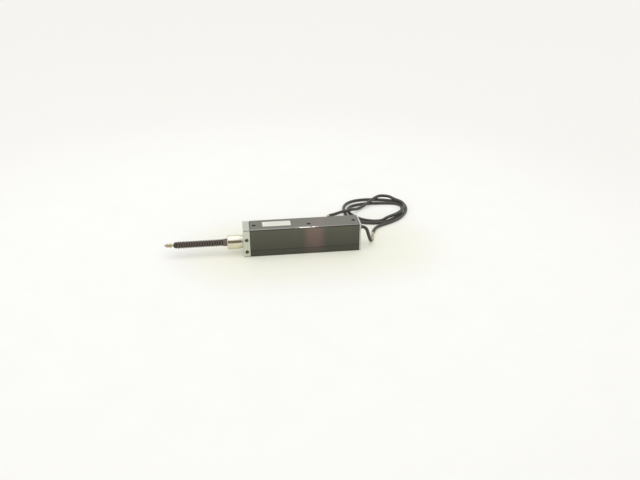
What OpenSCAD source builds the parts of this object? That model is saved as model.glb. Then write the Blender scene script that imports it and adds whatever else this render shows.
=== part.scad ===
// Linear gauge sensor with a 30 mm stroke, lying on its narrow side.
// X runs along the spindle from the contact point to the cable end, Z is up.
// The origin is under the middle of the gauge, on the face that it rests on.

/* [Housing] */
// Length of the extruded housing channel
body_len = 115; // [112:1:150]
// Width of the housing across its two long sides
body_w = 24.4; // [24:0.2:28]
// Height of the housing with its cover on
body_h = 31.2; // [31:0.2:36]
// Thickness of the two side walls
wall_t = 1.8; // [1.4:0.1:2]
// Thickness of the housing floor
floor_t = 2.4; // [2:0.1:2.8]
// Height of the groove that runs along both sides
groove_z = 7.1; // [5.5:0.1:9]
// Width of that groove
groove_w = 0.5; // [0.3:0.1:0.8]
// Depth of that groove
groove_depth = 0.5; // [0.3:0.1:0.8]
// How far the band under the groove stands back
band_inset = 0.25; // [0:0.05:0.4]
// Rounding of the two long lower edges
edge_r = 0.8; // [0.4:0.1:1.2]
// Side of the square ribs that take the end screws
rib_w = 3.2; // [2.8:0.1:3.6]
// Height of the lower screw holes above the floor's upper face
port_rise = 0.2; // [0.2:0.1:0.6]
// Height of the spindle axis above the resting face
axis_z = 13; // [12.6:0.1:14]

/* [Cover] */
// Thickness of the top cover
cover_t = 1.2; // [1:0.1:1.6]
// Chamfer along the cover's upper edges
cover_chamfer = 0.4; // [0.2:0.1:0.6]
// Height and depth of the shadow gap under the cover's edges
seam = 0.3; // [0.2:0.05:0.4]
// Distance of the outer cover screws from the housing's ends
cover_screw_in = 4.4; // [3.6:0.1:5]
// Sideways offset of the two outer cover screws
outer_screw_y = -0.9; // [-2:0.1:2]
// Sideways offset of the middle cover screw
mid_screw_y = -3.9; // [-5:0.1:-3]
// Thread diameter of the cover screws
cover_screw_d = 2.5; // [2:0.1:2.6]
// Thickness of the cross bars that the cover screws into
bar_t = 3.6; // [3.2:0.1:4]
// Width of those bars along the housing
bar_w = 5; // [4.6:0.1:5.6]
// Length of the blank label
label_len = 30; // [20:1:40]
// Width of the blank label
label_w = 11.6; // [8:0.2:16]
// Distance of the label from the housing's front
label_in = 13.4; // [10:0.2:16]
// Sideways offset of the label
label_y = 0.65; // [-1:0.05:1]
// Thickness of the label
label_t = 0.12; // [0.08:0.02:0.2]

/* [Front block] */
// Thickness of the front block
block_t = 6.7; // [6:0.1:8]
// How far the block stands proud of the housing sides
block_proud = 0.2; // [0:0.1:0.4]
// Rounding of the block's edges
block_r = 1.6; // [0.5:0.1:1.8]
// Diameter of the round boss in front of the block
boss_d = 14.2; // [13.6:0.1:15]
// Length of that boss
boss_len = 1.9; // [1:0.1:3]
// Tapped diameter of the two mounting holes in the block's side
side_hole_d = 4; // [3:0.1:4.2]
// Distance between the two mounting holes
side_hole_pitch = 13.4; // [13.2:0.1:14]
// Depth of the mounting holes
side_hole_depth = 5.6; // [4:0.1:5.8]
// Thickness of the gaskets at both ends of the housing
gasket_t = 0.5; // [0.3:0.1:0.8]
// Thread diameter of the end screws
end_screw_d = 2; // [1.6:0.1:2.2]
// Length of the end screws
end_screw_len = 13; // [11:1:16]

/* [Stem] */
// Diameter of the clamping stem
stem_d = 15; // [14:0.1:16]
// Length of the stem in front of the boss
stem_len = 15; // [13:0.5:20]
// Chamfer at the stem's front edge
stem_chamfer = 0.8; // [0.4:0.1:1.2]
// Width of the relief groove behind the stem
relief_w = 0.9; // [0.6:0.1:1.4]
// Depth of that relief groove
relief_depth = 0.8; // [0.4:0.1:1]
// Diameter of the shank that is pressed into the front block
shank_d = 12; // [11:0.1:12.6]

/* [Guide] */
// Diameter of the spindle
spindle_d = 4; // [3.6:0.1:4.2]
// Working travel of the spindle
travel = 30; // [20:1:30]
// Diameter of the guide balls
ball_d = 1.5; // [1.3:0.1:1.6]
// Running clearance on each side of a ball
ball_gap = 0.02; // [0.01:0.01:0.04]
// Rings of balls in the cage
ball_rings = 6; // [4:1:6]
// Distance between two rings of balls
ball_pitch = 3.4; // [3.2:0.1:3.6]
// Outer diameter of the guide tube
tube_d = 9; // [8.8:0.1:9.6]
// How far the guide tube reaches into the housing
tube_reach = 20; // [18:0.5:21]
// Diameter of the spigot that carries the bellows
spigot_d = 6.2; // [5.8:0.1:6.6]
// Length of that spigot in front of the stem
spigot_out = 4.2; // [3.6:0.1:4.6]
// Depth of the spigot sleeve in the stem
spigot_in = 3; // [2.4:0.1:3.6]
// Thickness of the wiper ring behind the spigot
wiper_t = 1.5; // [1:0.1:2]
// Thickness of the rubber stop bumper
bumper_t = 2; // [1.5:0.1:2.5]

/* [Bellows] */
// Length of the bellows with the spindle out
bellows_len = 55.8; // [52:0.2:64]
// Diameter over the folds
bellows_d = 8; // [7.4:0.1:8.4]
// Depth of the folds
fold_depth = 0.9; // [0.6:0.05:1.1]
// Number of folds
folds = 18; // [14:1:24]
// Thickness of the rubber
skin = 0.45; // [0.35:0.05:0.5]
// Diameter of the rear cuff
cuff_d = 8.1; // [7.8:0.1:9]
// Length of the rear cuff
cuff_len = 4.8; // [4.7:0.1:6]
// Length of the tapered front cuff
nose_cuff_len = 3.2; // [2.6:0.1:4]

/* [Contact point] */
// Length of the tapered nose with its ball
nose_len = 3.8; // [3.4:0.1:5]
// Diameter of the nose at its base
nose_d = 4.4; // [4:0.1:4.8]
// Diameter of the hard ball in the tip
tip_ball_d = 2.2; // [2:0.1:2.6]
// Diameter of the waist between nose and collar
waist_d = 3.4; // [3.2:0.1:3.8]
// Length of the waist
waist_len = 1.4; // [1:0.1:2]
// Diameter of the grip collar
collar_d = 4.8; // [4.4:0.1:5.4]
// Width of the grip collar
collar_w = 2; // [1.4:0.1:2.4]
// Diameter of the neck behind the collar
neck_d = 2.8; // [2.7:0.1:3.2]
// Length of the neck
neck_len = 2.4; // [1.6:0.1:3]
// Thread diameter of the contact point
contact_thread_d = 2.5; // [2:0.1:2.6]
// Length of that thread
contact_thread_len = 5; // [4:0.1:6]

/* [Carriage and scale] */
// Length of the carriage hub along the spindle
hub_len = 12; // [11:0.5:14]
// Width of the hub
hub_w = 6.6; // [6.2:0.1:7]
// Depth of the hub under the axis
hub_drop = 5; // [4.6:0.1:5.2]
// Height of the scale carrier above the axis
carrier_rise = 6.5; // [6:0.1:7]
// Height of the scale carrier
carrier_h = 4; // [3.4:0.1:4.2]
// Width of the scale carrier
carrier_w = 4.8; // [4:0.1:5.2]
// Length of the glass scale
scale_len = 42; // [41:1:48]
// Thickness of the glass scale
scale_t = 1.2; // [1:0.1:1.4]
// Depth of the slot that holds the glass
scale_seat = 2; // [1.6:0.1:2.4]
// Width of the guide rail
rail_w = 8; // [7:0.1:9]
// Height of the guide rail
rail_h = 4.5; // [4.2:0.1:4.8]
// Width of the slot in the rail
slot_w = 3; // [2.6:0.1:3.4]
// Depth of that slot
slot_depth = 2.8; // [2.4:0.1:3]
// Sideways play of the guide shoe in the slot
shoe_play = 0.08; // [0.04:0.01:0.12]

/* [Return spring] */
// Outer diameter of the spring coils
spring_d = 4.4; // [4:0.1:4.6]
// Diameter of the spring wire
spring_wire = 0.5; // [0.4:0.05:0.6]
// Number of coils
spring_turns = 18; // [14:1:22]
// Distance of the spring beside the axis
spring_y = 6; // [5.9:0.1:6.2]
// Distance of the spring under the axis
spring_drop = 4; // [3.8:0.1:4.2]
// Diameter of the two spring posts
post_d = 1.6; // [1.4:0.1:1.7]
// Distance of the front post from the housing's front
post_in = 4.4; // [4:0.1:5]

/* [Reading head] */
// Width of the head bracket along the housing
head_w = 10; // [9:0.5:11]
// Thickness of the bracket's two legs
leg_t = 2; // [1.6:0.1:2.4]
// Free width between the two legs
leg_gap = 8.4; // [8:0.1:8.8]
// Air gap between the index grating and the scale
grating_gap = 0.4; // [0.2:0.05:0.5]
// Thickness of the index grating
grating_t = 0.9; // [0.7:0.1:1]
// Thickness of the sensor board
sensor_board_t = 1; // [0.8:0.1:1.2]
// Diameter of the collimator lens
lens_d = 3.2; // [2.8:0.1:3.6]
// Distance of the main board behind the head bracket
board_gap = 4.8; // [4:0.1:8]
// Distance of the main board from the housing's rear end
board_end_gap = 9; // [8.5:0.5:12]
// Thickness of the main board
board_t = 1.6; // [1:0.1:1.8]

/* [Rear end] */
// Thickness of the rear plate
plate_t = 1.6; // [1.4:0.1:2.4]
// Rounding of the rear plate's corners
plate_r = 0.8; // [0.4:0.1:1.2]
// Diameter of the cable gland
gland_d = 6.4; // [6:0.1:7]
// Length of the gland behind the rear plate
gland_len = 2.6; // [2:0.1:3]
// Diameter of the gland's threaded shank
gland_shank_d = 5; // [4.6:0.1:5.4]
// Distance of the gland's middle below the top
gland_drop = 9; // [8.6:0.1:9.4]
// Thickness of the nut inside the rear plate
gland_nut_t = 1.5; // [1.2:0.1:1.8]
// Length of the ferrule on the cable inside the housing
ferrule_len = 3; // [2:0.5:4]
// Distance of the ferrule's front from the housing's rear end
ferrule_in = 7; // [6.5:0.1:7.6]

/* [Cable] */
// Diameter of the cable's jacket
cable_d = 3.6; // [3.2:0.1:3.8]
// Diameter of one insulated core
core_d = 1.1; // [0.9:0.1:1.2]

/* [Hidden] */
$fn = 64;

// Named clearances
sleeve_gap = 0.3;
wiper_gap = 0.05;
rest_gap = 0.2;
hook_gap = 0.2;
cable_gap = 0.05;
core_gap = 0.02;
screw_play = 0.2;
lid_inset = 0.15;
head_clear = 0.6;
cut = 1;

// Stations along the spindle axis, from the tip to the cable end
contact_len = nose_len + waist_len + collar_w + neck_len;
total_len = contact_len + bellows_len + stem_len + boss_len + block_t + 2 * gasket_t
    + body_len + plate_t + gland_len;
x_tip = -total_len / 2;
x_bellows = x_tip + contact_len;
x_stem = x_bellows + bellows_len;
x_boss = x_stem + stem_len;
x_block = x_boss + boss_len;
x_gasket = x_block + block_t;
x_body = x_gasket + gasket_t;
x_body_end = x_body + body_len;
x_plate = x_body_end + gasket_t;
x_plate_end = x_plate + plate_t;

// Housing section
inner_w = body_w - 2 * wall_t;
shell_h = body_h - cover_t;
block_w = body_w + 2 * block_proud;
bar_z = shell_h - bar_t;
port_y = inner_w / 2 - rib_w / 2;
port_low_z = floor_t + port_rise;
port_high_z = bar_z - rib_w / 2;
end_head_d = 2 * end_screw_d;
cover_head_d = 1.8 * cover_screw_d;
gland_z = body_h - gland_drop;

// Ball guide
race_d = spindle_d + 2 * ball_d + 4 * ball_gap;
ball_track_r = spindle_d / 2 + ball_gap + ball_d / 2;
balls_per_ring = 6;
cage_t = 0.9;
cage_margin = 2;
cage_len = (ball_rings - 1) * ball_pitch + 2 * cage_margin;
x_tube = x_stem + spigot_in + wiper_t;
x_tube_end = x_body + tube_reach;
stop_ring_t = 0.8;
x_cage = x_tube_end - 2 * stop_ring_t - rest_gap - travel / 2 - cage_len;

// Carriage, scale and reading head
x_car = x_tube_end + bumper_t + rest_gap;
x_car_end = x_car + hub_len;
scale_in = 4;
x_scale = x_car + scale_in;
x_head = x_scale + (scale_len + travel) / 2;
carrier_top = axis_z + carrier_rise;
scale_z = carrier_top - scale_seat;
scale_top = bar_z - head_clear;
head_low = carrier_top + head_clear;
head_h = bar_z - head_low;
grating_y = scale_t / 2 + grating_gap;
sensor_y = leg_gap / 2 - sensor_board_t;
optic_w = 6;
rail_top = floor_t + rail_h;
slot_z = rail_top - slot_depth;
shoe_lift = 0.4;
hub_low = axis_z - hub_drop;

// Return spring and its posts
spring_z = axis_z - spring_drop;
x_post_front = x_body + post_in;
x_post_rear = x_car_end - 2;
hook_r = post_d / 2 + hook_gap + spring_wire / 2;
post_top = spring_z + 1.4;
arm_t = 2.2;

// Main board, against the inner faces of the screw ribs
board_y = inner_w / 2 - rib_w - board_t;
x_board = x_head + head_w / 2 + board_gap;
x_board_end = x_body_end - board_end_gap;
board_low = floor_t + 0.8;
board_top = bar_z - 0.4;
pad_pitch = 2.4;
pad_drop = 8;
ribbon_w = 3;
ribbon_t = 0.2;

// Parts on the main board
chip_margin = 2;
chip_rise = 4;
main_chip_w = 6;
main_chip_h = 8;
main_chip_t = 1.5;
side_chip_w = 4;
side_chip_h = 5;
side_chip_t = 1.3;
plug_w = 3;
plug_t = 1.8;

// Cable route from inside the housing to the end of the first jacket
LEAD = [[90, 0, 22.2], [97, 0, 22.2], [102, 0, 22.2], [104.8, 0, 22.2], [107, 0, 21.8],
    [109.1, -0.1, 20.6], [110.6, -0.3, 18.8], [111.5, -0.5, 16.4], [112.3, -0.6, 13.9],
    [113.4, -0.4, 10.3], [114.4, 0, 7.2], [115.6, 1.6, 4.6], [117, 4.6, 2.9]];
// The bare stretch, where the jacket is gone
BARE = [[117, 4.6, 2.9], [118.5, 8.8, 1.9], [120.2, 14.4, 1.7], [121.8, 20.2, 1.8],
    [123.4, 26, 1.9]];
// The long jacketed run, loop by loop, to its free end
RUN = [[123.4, 26, 1.9], [126.2, 33, 1.9], [131, 39.8, 1.9], [139.4, 45.6, 1.9], [150.5, 51.8, 1.9],
    [161.5, 60.6, 1.9], [170, 72, 1.9], [175.4, 84.5, 1.9], [176.9, 96.5, 1.9], [174.5, 104.5, 1.9],
    [168.5, 110, 1.9], [157.5, 115.5, 1.9], [144, 119, 1.9], [131.5, 120.5, 1.9],
    [120.5, 119, 1.9], [111.5, 114.5, 1.9], [105, 107, 1.9], [101.8, 98, 1.9], [100.8, 87, 1.9],
    [101.5, 75, 1.9], [105, 65, 1.9], [111.5, 57.4, 1.9], [120, 53.2, 1.9], [129.5, 51, 1.9],
    [138.5, 51, 1.9], [148, 55.4, 1.9], [158.6, 64.2, 1.9], [166.6, 74.6, 1.9], [171, 86.5, 1.9],
    [172.2, 95.8, 1.9], [169, 101.8, 1.9], [163.5, 105, 1.9], [155, 106.5, 1.9],
    [143.5, 107.5, 1.9], [132.5, 108, 1.9], [122, 106.5, 1.9], [112.8, 103, 1.9],
    [107.2, 96.5, 1.9], [105.6, 87, 1.9], [107.6, 78, 1.9], [111.8, 69.8, 1.9], [117.4, 63.2, 1.9],
    [124, 58.8, 1.9], [132, 56.2, 1.9], [139.6, 56, 2.4], [146.8, 57.9, 5], [154.4, 61.6, 5.8],
    [162.3, 67.8, 5.7], [169, 77, 5.5], [173.6, 87.5, 5.5], [174.2, 95.5, 5.5], [172, 101.2, 5.7],
    [168.3, 105.8, 5.9], [165.3, 111, 5.9], [162, 117.5, 5.7], [156.5, 121.5, 5.4],
    [150, 121, 5.7], [144.3, 116, 5.9], [138, 109, 6], [130.5, 102.5, 4.2], [123, 96.5, 2.6],
    [116, 90, 3.4], [109.5, 84, 5.8], [103, 81, 5.9], [96.5, 80.5, 5], [88.5, 80.5, 2.6],
    [81, 78.5, 1.9]];
cable_sides = 8;
core_sides = 6;
core_ring = 0.85;
bare_fan = 0.9;
core_lead = 0.8;
stub_len = 2.6;

// Unit vector along v
function unit(v) = v / norm(v);

// Direction of a route p at its point i
function heading(p, i) = unit(p[min(i + 1, len(p) - 1)] - p[max(i - 1, 0)]);

// The part of v that stands square to direction t, at unit length
function squared(v, t) = unit(v - (v * t) * t);

// One sideways direction for each point, carried along without twist
function carried(p, seed) = [for (i = 0, n = squared(seed, heading(p, 0)); i < len(p);
    i = i + 1, n = squared(n, heading(p, min(i, len(p) - 1)))) n];

// Points of one ring of a swept tube
function ring(c, n, t, r, sides) = [for (k = [0:sides - 1])
    let (a = 360 * k / sides) c + r * (cos(a) * n + sin(a) * cross(t, n))];

// Closed tube of diameter d along the route p
module swept(p, d, sides, seed = [0, 0, 1]) {
    side_dirs = carried(p, seed);
    last = len(p) - 1;
    points = [for (i = [0:last]) each ring(p[i], side_dirs[i], heading(p, i), d / 2, sides)];
    skin_a = [for (i = [0:last - 1], k = [0:sides - 1])
        [i * sides + k, (i + 1) * sides + k, (i + 1) * sides + (k + 1) % sides]];
    skin_b = [for (i = [0:last - 1], k = [0:sides - 1])
        [i * sides + k, (i + 1) * sides + (k + 1) % sides, i * sides + (k + 1) % sides]];
    caps = [[for (k = [0:sides - 1]) k], [for (k = [sides - 1:-1:0]) last * sides + k]];
    polyhedron(points = points, faces = concat(skin_a, skin_b, caps), convexity = 10);
}

// Turns a shape that stands on Z so that it lies along the spindle axis from x
module along(x, z = axis_z) {
    translate([x, 0, z]) rotate([0, 90, 0]) children();
}

// Round bar along the spindle axis
module bar(x, d, len) {
    along(x) cylinder(h = len, d = d);
}

// Tube along the spindle axis
module sleeve(x, outer, inner, len) {
    difference() {
        bar(x, outer, len);
        bar(x - cut, inner, len + 2 * cut);
    }
}

// Slab of thickness t whose outline lies in the YZ plane
module slab(x, t) {
    translate([x, 0, 0]) rotate([90, 0, 90]) linear_extrude(t) children();
}

// Box given by its low corner and its size
module box(low, size) {
    translate(low) cube(size);
}

// Rectangle on the resting line with four round corners
module rounded(w, h, r) {
    translate([-w / 2 + r, 0]) square([w - 2 * r, h]);
    translate([-w / 2, r]) square([w, h - 2 * r]);
    for (y = [-w / 2 + r, w / 2 - r], z = [r, h - r]) translate([y, z]) circle(r);
}

// Places its child at the four end screws, in the YZ plane
module at_ports() {
    for (y = [-port_y, port_y], z = [port_low_z, port_high_z]) translate([y, z]) children();
}

// Countersunk screw with its head's face at the origin, pointing down, with a cross recess
module csk_screw(d, head_d, len) {
    head_h = (head_d - d) / 2;
    difference() {
        union() {
            translate([0, 0, -head_h]) cylinder(h = head_h, d1 = d, d2 = head_d);
            translate([0, 0, -len]) cylinder(h = len - head_h, d = d);
        }
        for (a = [0, 90]) rotate(a)
            translate([-head_d / 4, -head_d / 16, -head_h / 2]) cube([head_d / 2, head_d / 8, head_h]);
    }
}

// The hole that such a screw sits in
module csk_hole(d, head_d, depth) {
    head_h = (head_d - d) / 2;
    translate([0, 0, -head_h]) cylinder(h = head_h, d1 = d, d2 = head_d);
    translate([0, 0, -depth]) cylinder(h = depth + cut, d = d + screw_play);
}

// Turns an upright screw to point along +X (from the front) or -X (from the rear)
module from_front(x) {
    for (y = [-port_y, port_y], z = [port_low_z, port_high_z])
        translate([x, y, z]) rotate([0, -90, 0]) children();
}

module from_rear(x) {
    for (y = [-port_y, port_y], z = [port_low_z, port_high_z])
        translate([x, y, z]) rotate([0, 90, 0]) children();
}

// Places its child at the three cover screws, on the level z
module at_cover_screws(z) {
    translate([x_body + cover_screw_in, outer_screw_y, z]) children();
    translate([x_head, mid_screw_y, z]) children();
    translate([x_body_end - cover_screw_in, outer_screw_y, z]) children();
}

module front_block() {
    color([0.74, 0.76, 0.72])
        difference() {
            union() {
                slab(x_block, block_t) rounded(block_w, body_h, block_r);
                bar(x_boss, boss_d, boss_len + cut);
            }
            bar(x_boss - cut, shank_d, block_t + boss_len + 2 * cut);
            from_front(x_block) csk_hole(end_screw_d, end_head_d, block_t + cut);
            for (side = [-1, 1])
                translate([x_block + block_t / 2, -block_w / 2 + side_hole_depth,
                        axis_z + side * side_hole_pitch / 2])
                    rotate([90, 0, 0]) cylinder(h = side_hole_depth + cut, d = side_hole_d);
        }
}

// Gasket outline, a frame with four screw holes
module gasket_outline() {
    difference() {
        translate([-body_w / 2 + seam, seam]) square([body_w - 2 * seam, shell_h - seam]);
        translate([-port_y + rib_w / 2, port_low_z + rib_w / 2])
            square([2 * port_y - rib_w, port_high_z - port_low_z - rib_w]);
        at_ports() circle(d = end_screw_d + screw_play);
    }
}

module front_gasket() {
    color([0.12, 0.12, 0.12]) slab(x_gasket, gasket_t) gasket_outline();
}

module front_screws() {
    color([0.3, 0.3, 0.3]) from_front(x_block) csk_screw(end_screw_d, end_head_d, end_screw_len);
}

// Section of the housing channel in the YZ plane
module channel() {
    difference() {
        union() {
            translate([-body_w / 2, groove_z]) square([body_w, shell_h - groove_z]);
            rounded(body_w - 2 * band_inset, groove_z + groove_w + 2 * edge_r, edge_r);
        }
        translate([-inner_w / 2, floor_t]) square([inner_w, shell_h]);
        for (side = [-1, 1])
            translate([side * body_w / 2 - groove_depth, groove_z])
                square([2 * groove_depth, groove_w]);
    }
    for (side = [-1, 1]) {
        translate([side * port_y - rib_w / 2, floor_t / 2])
            square([rib_w, port_low_z + rib_w / 2 - floor_t / 2]);
        translate([side * port_y - rib_w / 2, port_high_z - rib_w / 2]) square([rib_w, rib_w]);
    }
}

module housing() {
    color([0.15, 0.15, 0.14])
        difference() {
            slab(x_body, body_len) channel();
            for (x = [x_body - cut, x_body_end - end_screw_len])
                slab(x, end_screw_len + cut) at_ports() circle(d = end_screw_d);
            at_rail_screws(floor_t) cylinder(h = floor_t, d = end_screw_d, center = true);
            translate([x_post_front, spring_y, floor_t / 2])
                cylinder(h = port_low_z + rib_w / 2, d = post_d);
            at_board_screws(board_y + board_t)
                cylinder(h = 2 * rib_w - cut, d = end_screw_d, center = true);
        }
}

// Section of the cover, with chamfered edges above a shadow gap
module cover_section() {
    half = body_w / 2 - lid_inset;
    polygon([[-half + seam, 0], [half - seam, 0], [half - seam, seam], [half, seam],
        [half, cover_t - cover_chamfer], [half - cover_chamfer, cover_t],
        [-half + cover_chamfer, cover_t], [-half, cover_t - cover_chamfer], [-half, seam],
        [-half + seam, seam]]);
}

module top_cover() {
    color([0.2, 0.2, 0.19])
        difference() {
            translate([0, 0, shell_h]) slab(x_body, body_len) cover_section();
            at_cover_screws(body_h) csk_hole(cover_screw_d, cover_head_d, cover_t + cut);
        }
}

module cover_screws() {
    color([0.1, 0.1, 0.1])
        at_cover_screws(body_h) csk_screw(cover_screw_d, cover_head_d, cover_t + bar_t - 0.4);
}

// Bar across the housing under the cover, with a tapped hole y away from its middle
module cross_bar(x, w, y) {
    difference() {
        box([x - w / 2, -inner_w / 2, bar_z], [w, inner_w, bar_t]);
        translate([x, y, bar_z - cut]) cylinder(h = bar_t + 2 * cut, d = cover_screw_d);
    }
}

module cover_bars() {
    color([0.7, 0.7, 0.72]) {
        cross_bar(x_body + cover_screw_in, bar_w, outer_screw_y);
        cross_bar(x_body_end - cover_screw_in, bar_w, outer_screw_y);
    }
}

module blank_label() {
    color([0.93, 0.93, 0.92])
        box([x_body + label_in, label_y - label_w / 2, body_h], [label_len, label_w, label_t]);
}

module rear_gasket() {
    color([0.12, 0.12, 0.12])
        slab(x_body_end, gasket_t)
            difference() {
                gasket_outline();
                translate([0, gland_z]) circle(d = gland_d + 2.2);
            }
}

module rear_plate() {
    color([0.75, 0.76, 0.76])
        difference() {
            slab(x_plate, plate_t) rounded(body_w, body_h, plate_r);
            from_rear(x_plate_end) csk_hole(end_screw_d, end_head_d, plate_t + cut);
            along(x_plate - cut, gland_z) cylinder(h = plate_t + 2 * cut, d = gland_shank_d);
        }
}

module rear_screws() {
    color([0.6, 0.6, 0.6]) from_rear(x_plate_end) csk_screw(end_screw_d, end_head_d, end_screw_len);
}

module cable_gland() {
    nose = gland_len / 2;
    color([0.45, 0.45, 0.43])
        difference() {
            union() {
                along(x_plate - gland_nut_t - 0.5, gland_z)
                    cylinder(h = plate_t + gland_nut_t + 0.5 + nose, d = gland_shank_d);
                along(x_plate_end, gland_z) cylinder(h = gland_len - nose, d = gland_d);
                along(x_plate_end + gland_len - nose, gland_z)
                    cylinder(h = nose, d1 = gland_d, d2 = gland_shank_d);
            }
            along(x_plate - gland_nut_t - cut, gland_z)
                cylinder(h = plate_t + gland_nut_t + gland_len + 2 * cut, d = cable_d + 2 * cable_gap);
        }
}

module gland_nut() {
    color([0.72, 0.66, 0.42])
        difference() {
            along(x_plate - gland_nut_t, gland_z)
                cylinder(h = gland_nut_t, d = gland_d + 1.2, $fn = 6);
            along(x_plate - gland_nut_t - cut, gland_z)
                cylinder(h = gland_nut_t + 2 * cut, d = gland_shank_d);
        }
}

module stem() {
    relief_d = stem_d - 2 * relief_depth;
    color([0.8, 0.79, 0.74])
        along(x_stem) rotate_extrude()
            polygon([[tube_d / 2, 0], [stem_d / 2 - stem_chamfer, 0], [stem_d / 2, stem_chamfer],
                [stem_d / 2, stem_len - relief_w], [relief_d / 2, stem_len - relief_w],
                [relief_d / 2, stem_len], [shank_d / 2, stem_len],
                [shank_d / 2, stem_len + boss_len + block_t],
                [tube_d / 2, stem_len + boss_len + block_t]]);
}

module bellows_spigot() {
    bore_d = spindle_d + 2 * sleeve_gap;
    color([0.7, 0.62, 0.38]) {
        sleeve(x_stem, tube_d, bore_d, spigot_in);
        sleeve(x_stem - spigot_out, spigot_d, bore_d, spigot_out);
    }
}

module wiper_ring() {
    color([0.1, 0.1, 0.1]) sleeve(x_stem + spigot_in, tube_d, spindle_d + 2 * wiper_gap, wiper_t);
}

module guide_tube() {
    color([0.66, 0.67, 0.69]) sleeve(x_tube, tube_d, race_d, x_tube_end - x_tube);
}

module cage_stop_ring() {
    color([0.35, 0.35, 0.36])
        sleeve(x_tube_end - 2 * stop_ring_t, race_d, spindle_d + 2 * sleeve_gap, stop_ring_t);
}

// Places its child at every ball of the cage, alternate rings turned by half a step
module at_balls() {
    for (i = [0:ball_rings - 1], k = [0:balls_per_ring - 1])
        along(x_cage + cage_margin + i * ball_pitch)
            rotate((k + (i % 2) / 2) * 360 / balls_per_ring) translate([ball_track_r, 0, 0]) children();
}

module ball_cage() {
    cage_outer = 2 * ball_track_r + cage_t;
    cage_inner = 2 * ball_track_r - cage_t;
    pocket_d = ball_d + 2 * wiper_gap;
    color([0.75, 0.62, 0.3])
        difference() {
            sleeve(x_cage, cage_outer, cage_inner, cage_len);
            at_balls() rotate([0, 90, 0])
                cylinder(h = 2 * cage_t + ball_d, d = pocket_d, center = true, $fn = 32);
        }
}

module cage_balls() {
    color([0.8, 0.8, 0.82]) at_balls() sphere(d = ball_d, $fn = 24);
}

module stop_bumper() {
    color([0.12, 0.12, 0.12]) sleeve(x_tube_end, tube_d, spindle_d + 2 * sleeve_gap, bumper_t);
}

// Radius and station of the folds, from start to end, shrunk by the skin for the inside
function fold_line(start, end, shrink) = [for (i = [0:folds - 1])
    let (p = (end - start) / folds, z = start + i * p, high = bellows_d / 2 - shrink,
        low = high - fold_depth)
    each [[low, z], [low, z + 0.14 * p], [high, z + 0.42 * p], [high, z + 0.72 * p]]];

module bellows() {
    front = nose_cuff_len + 0.4;
    back = bellows_len - cuff_len - 0.3;
    low = bellows_d / 2 - fold_depth;
    grip_r = spindle_d / 2 + wiper_gap;
    outer = concat([[grip_r + skin, 0], [low + 0.5, nose_cuff_len * 0.6], [low + 0.5, nose_cuff_len]],
        fold_line(front, back, 0),
        [[low, back], [cuff_d / 2 - 0.15, bellows_len - cuff_len], [cuff_d / 2, bellows_len - 0.5],
            [cuff_d / 2 - 0.2, bellows_len]]);
    inner = concat([[grip_r, 0], [grip_r, nose_cuff_len]], fold_line(front, back, skin),
        [[low - skin, back], [spigot_d / 2, bellows_len - spigot_out - 0.1],
            [spigot_d / 2, bellows_len]]);
    color([0.16, 0.13, 0.11])
        along(x_bellows) rotate_extrude()
            polygon(concat(outer, [for (i = [len(inner) - 1:-1:0]) inner[i]]));
}

module spindle() {
    bore_len = contact_thread_len + 0.5;
    color([0.82, 0.82, 0.8])
        difference() {
            bar(x_bellows, spindle_d, x_car_end - x_bellows);
            bar(x_bellows - cut, contact_thread_d, bore_len + cut);
        }
}

module contact_point() {
    mouth = tip_ball_d * 0.36;
    collar_x = nose_len + waist_len;
    color([0.62, 0.56, 0.42])
        difference() {
            along(x_tip) rotate_extrude()
                polygon([[0, mouth], [tip_ball_d * 0.48, mouth], [nose_d / 2, nose_len - 0.5],
                    [nose_d / 2, nose_len], [waist_d / 2, nose_len], [waist_d / 2, collar_x],
                    [collar_d / 2, collar_x], [collar_d / 2, collar_x + collar_w],
                    [neck_d / 2, collar_x + collar_w], [neck_d / 2, contact_len],
                    [contact_thread_d / 2, contact_len],
                    [contact_thread_d / 2, contact_len + contact_thread_len],
                    [0, contact_len + contact_thread_len]]);
            along(x_tip + tip_ball_d / 2) sphere(d = tip_ball_d);
        }
}

module contact_ball() {
    color([0.5, 0.5, 0.52]) along(x_tip + tip_ball_d / 2) sphere(d = tip_ball_d);
}

module carriage() {
    carrier_len = scale_in + scale_len + 1;
    color([0.55, 0.56, 0.58])
        difference() {
            union() {
                box([x_car, -hub_w / 2, hub_low],
                    [hub_len, hub_w, carrier_top - carrier_h - hub_low + 1]);
                box([x_car, -carrier_w / 2, carrier_top - carrier_h],
                    [carrier_len, carrier_w, carrier_h]);
                box([x_post_rear - 2, 0, post_top], [4, spring_y + post_d, arm_t]);
                translate([x_post_rear, spring_y, spring_z - 1.4]) cylinder(h = 4, d = post_d);
            }
            bar(x_car - cut, spindle_d, hub_len + 2 * cut);
            box([x_scale, -scale_t / 2, scale_z], [scale_len, scale_t, scale_seat + cut]);
        }
}

module guide_shoe() {
    color([0.9, 0.9, 0.86])
        box([x_car + 1, -slot_w / 2 + shoe_play, slot_z + shoe_lift],
            [hub_len - 2, slot_w - 2 * shoe_play, hub_low - slot_z - shoe_lift]);
}

// Places its child at the two screws that hold the guide rail
module at_rail_screws(z) {
    for (x = [x_car + 6, x_car_end + travel - 6]) translate([x, 0, z]) children();
}

module guide_rail() {
    color([0.62, 0.63, 0.65])
        difference() {
            box([x_car - 1, -rail_w / 2, floor_t], [hub_len + travel + 2, rail_w, rail_h]);
            box([x_car - 1 - cut, -slot_w / 2, slot_z],
                [hub_len + travel + 2 + 2 * cut, slot_w, rail_h]);
            at_rail_screws(slot_z) csk_hole(end_screw_d, slot_w - 0.4, rail_h);
        }
}

module rail_screws() {
    color([0.3, 0.3, 0.3])
        at_rail_screws(slot_z) csk_screw(end_screw_d, slot_w - 0.4, slot_z - floor_t / 2);
}

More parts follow.
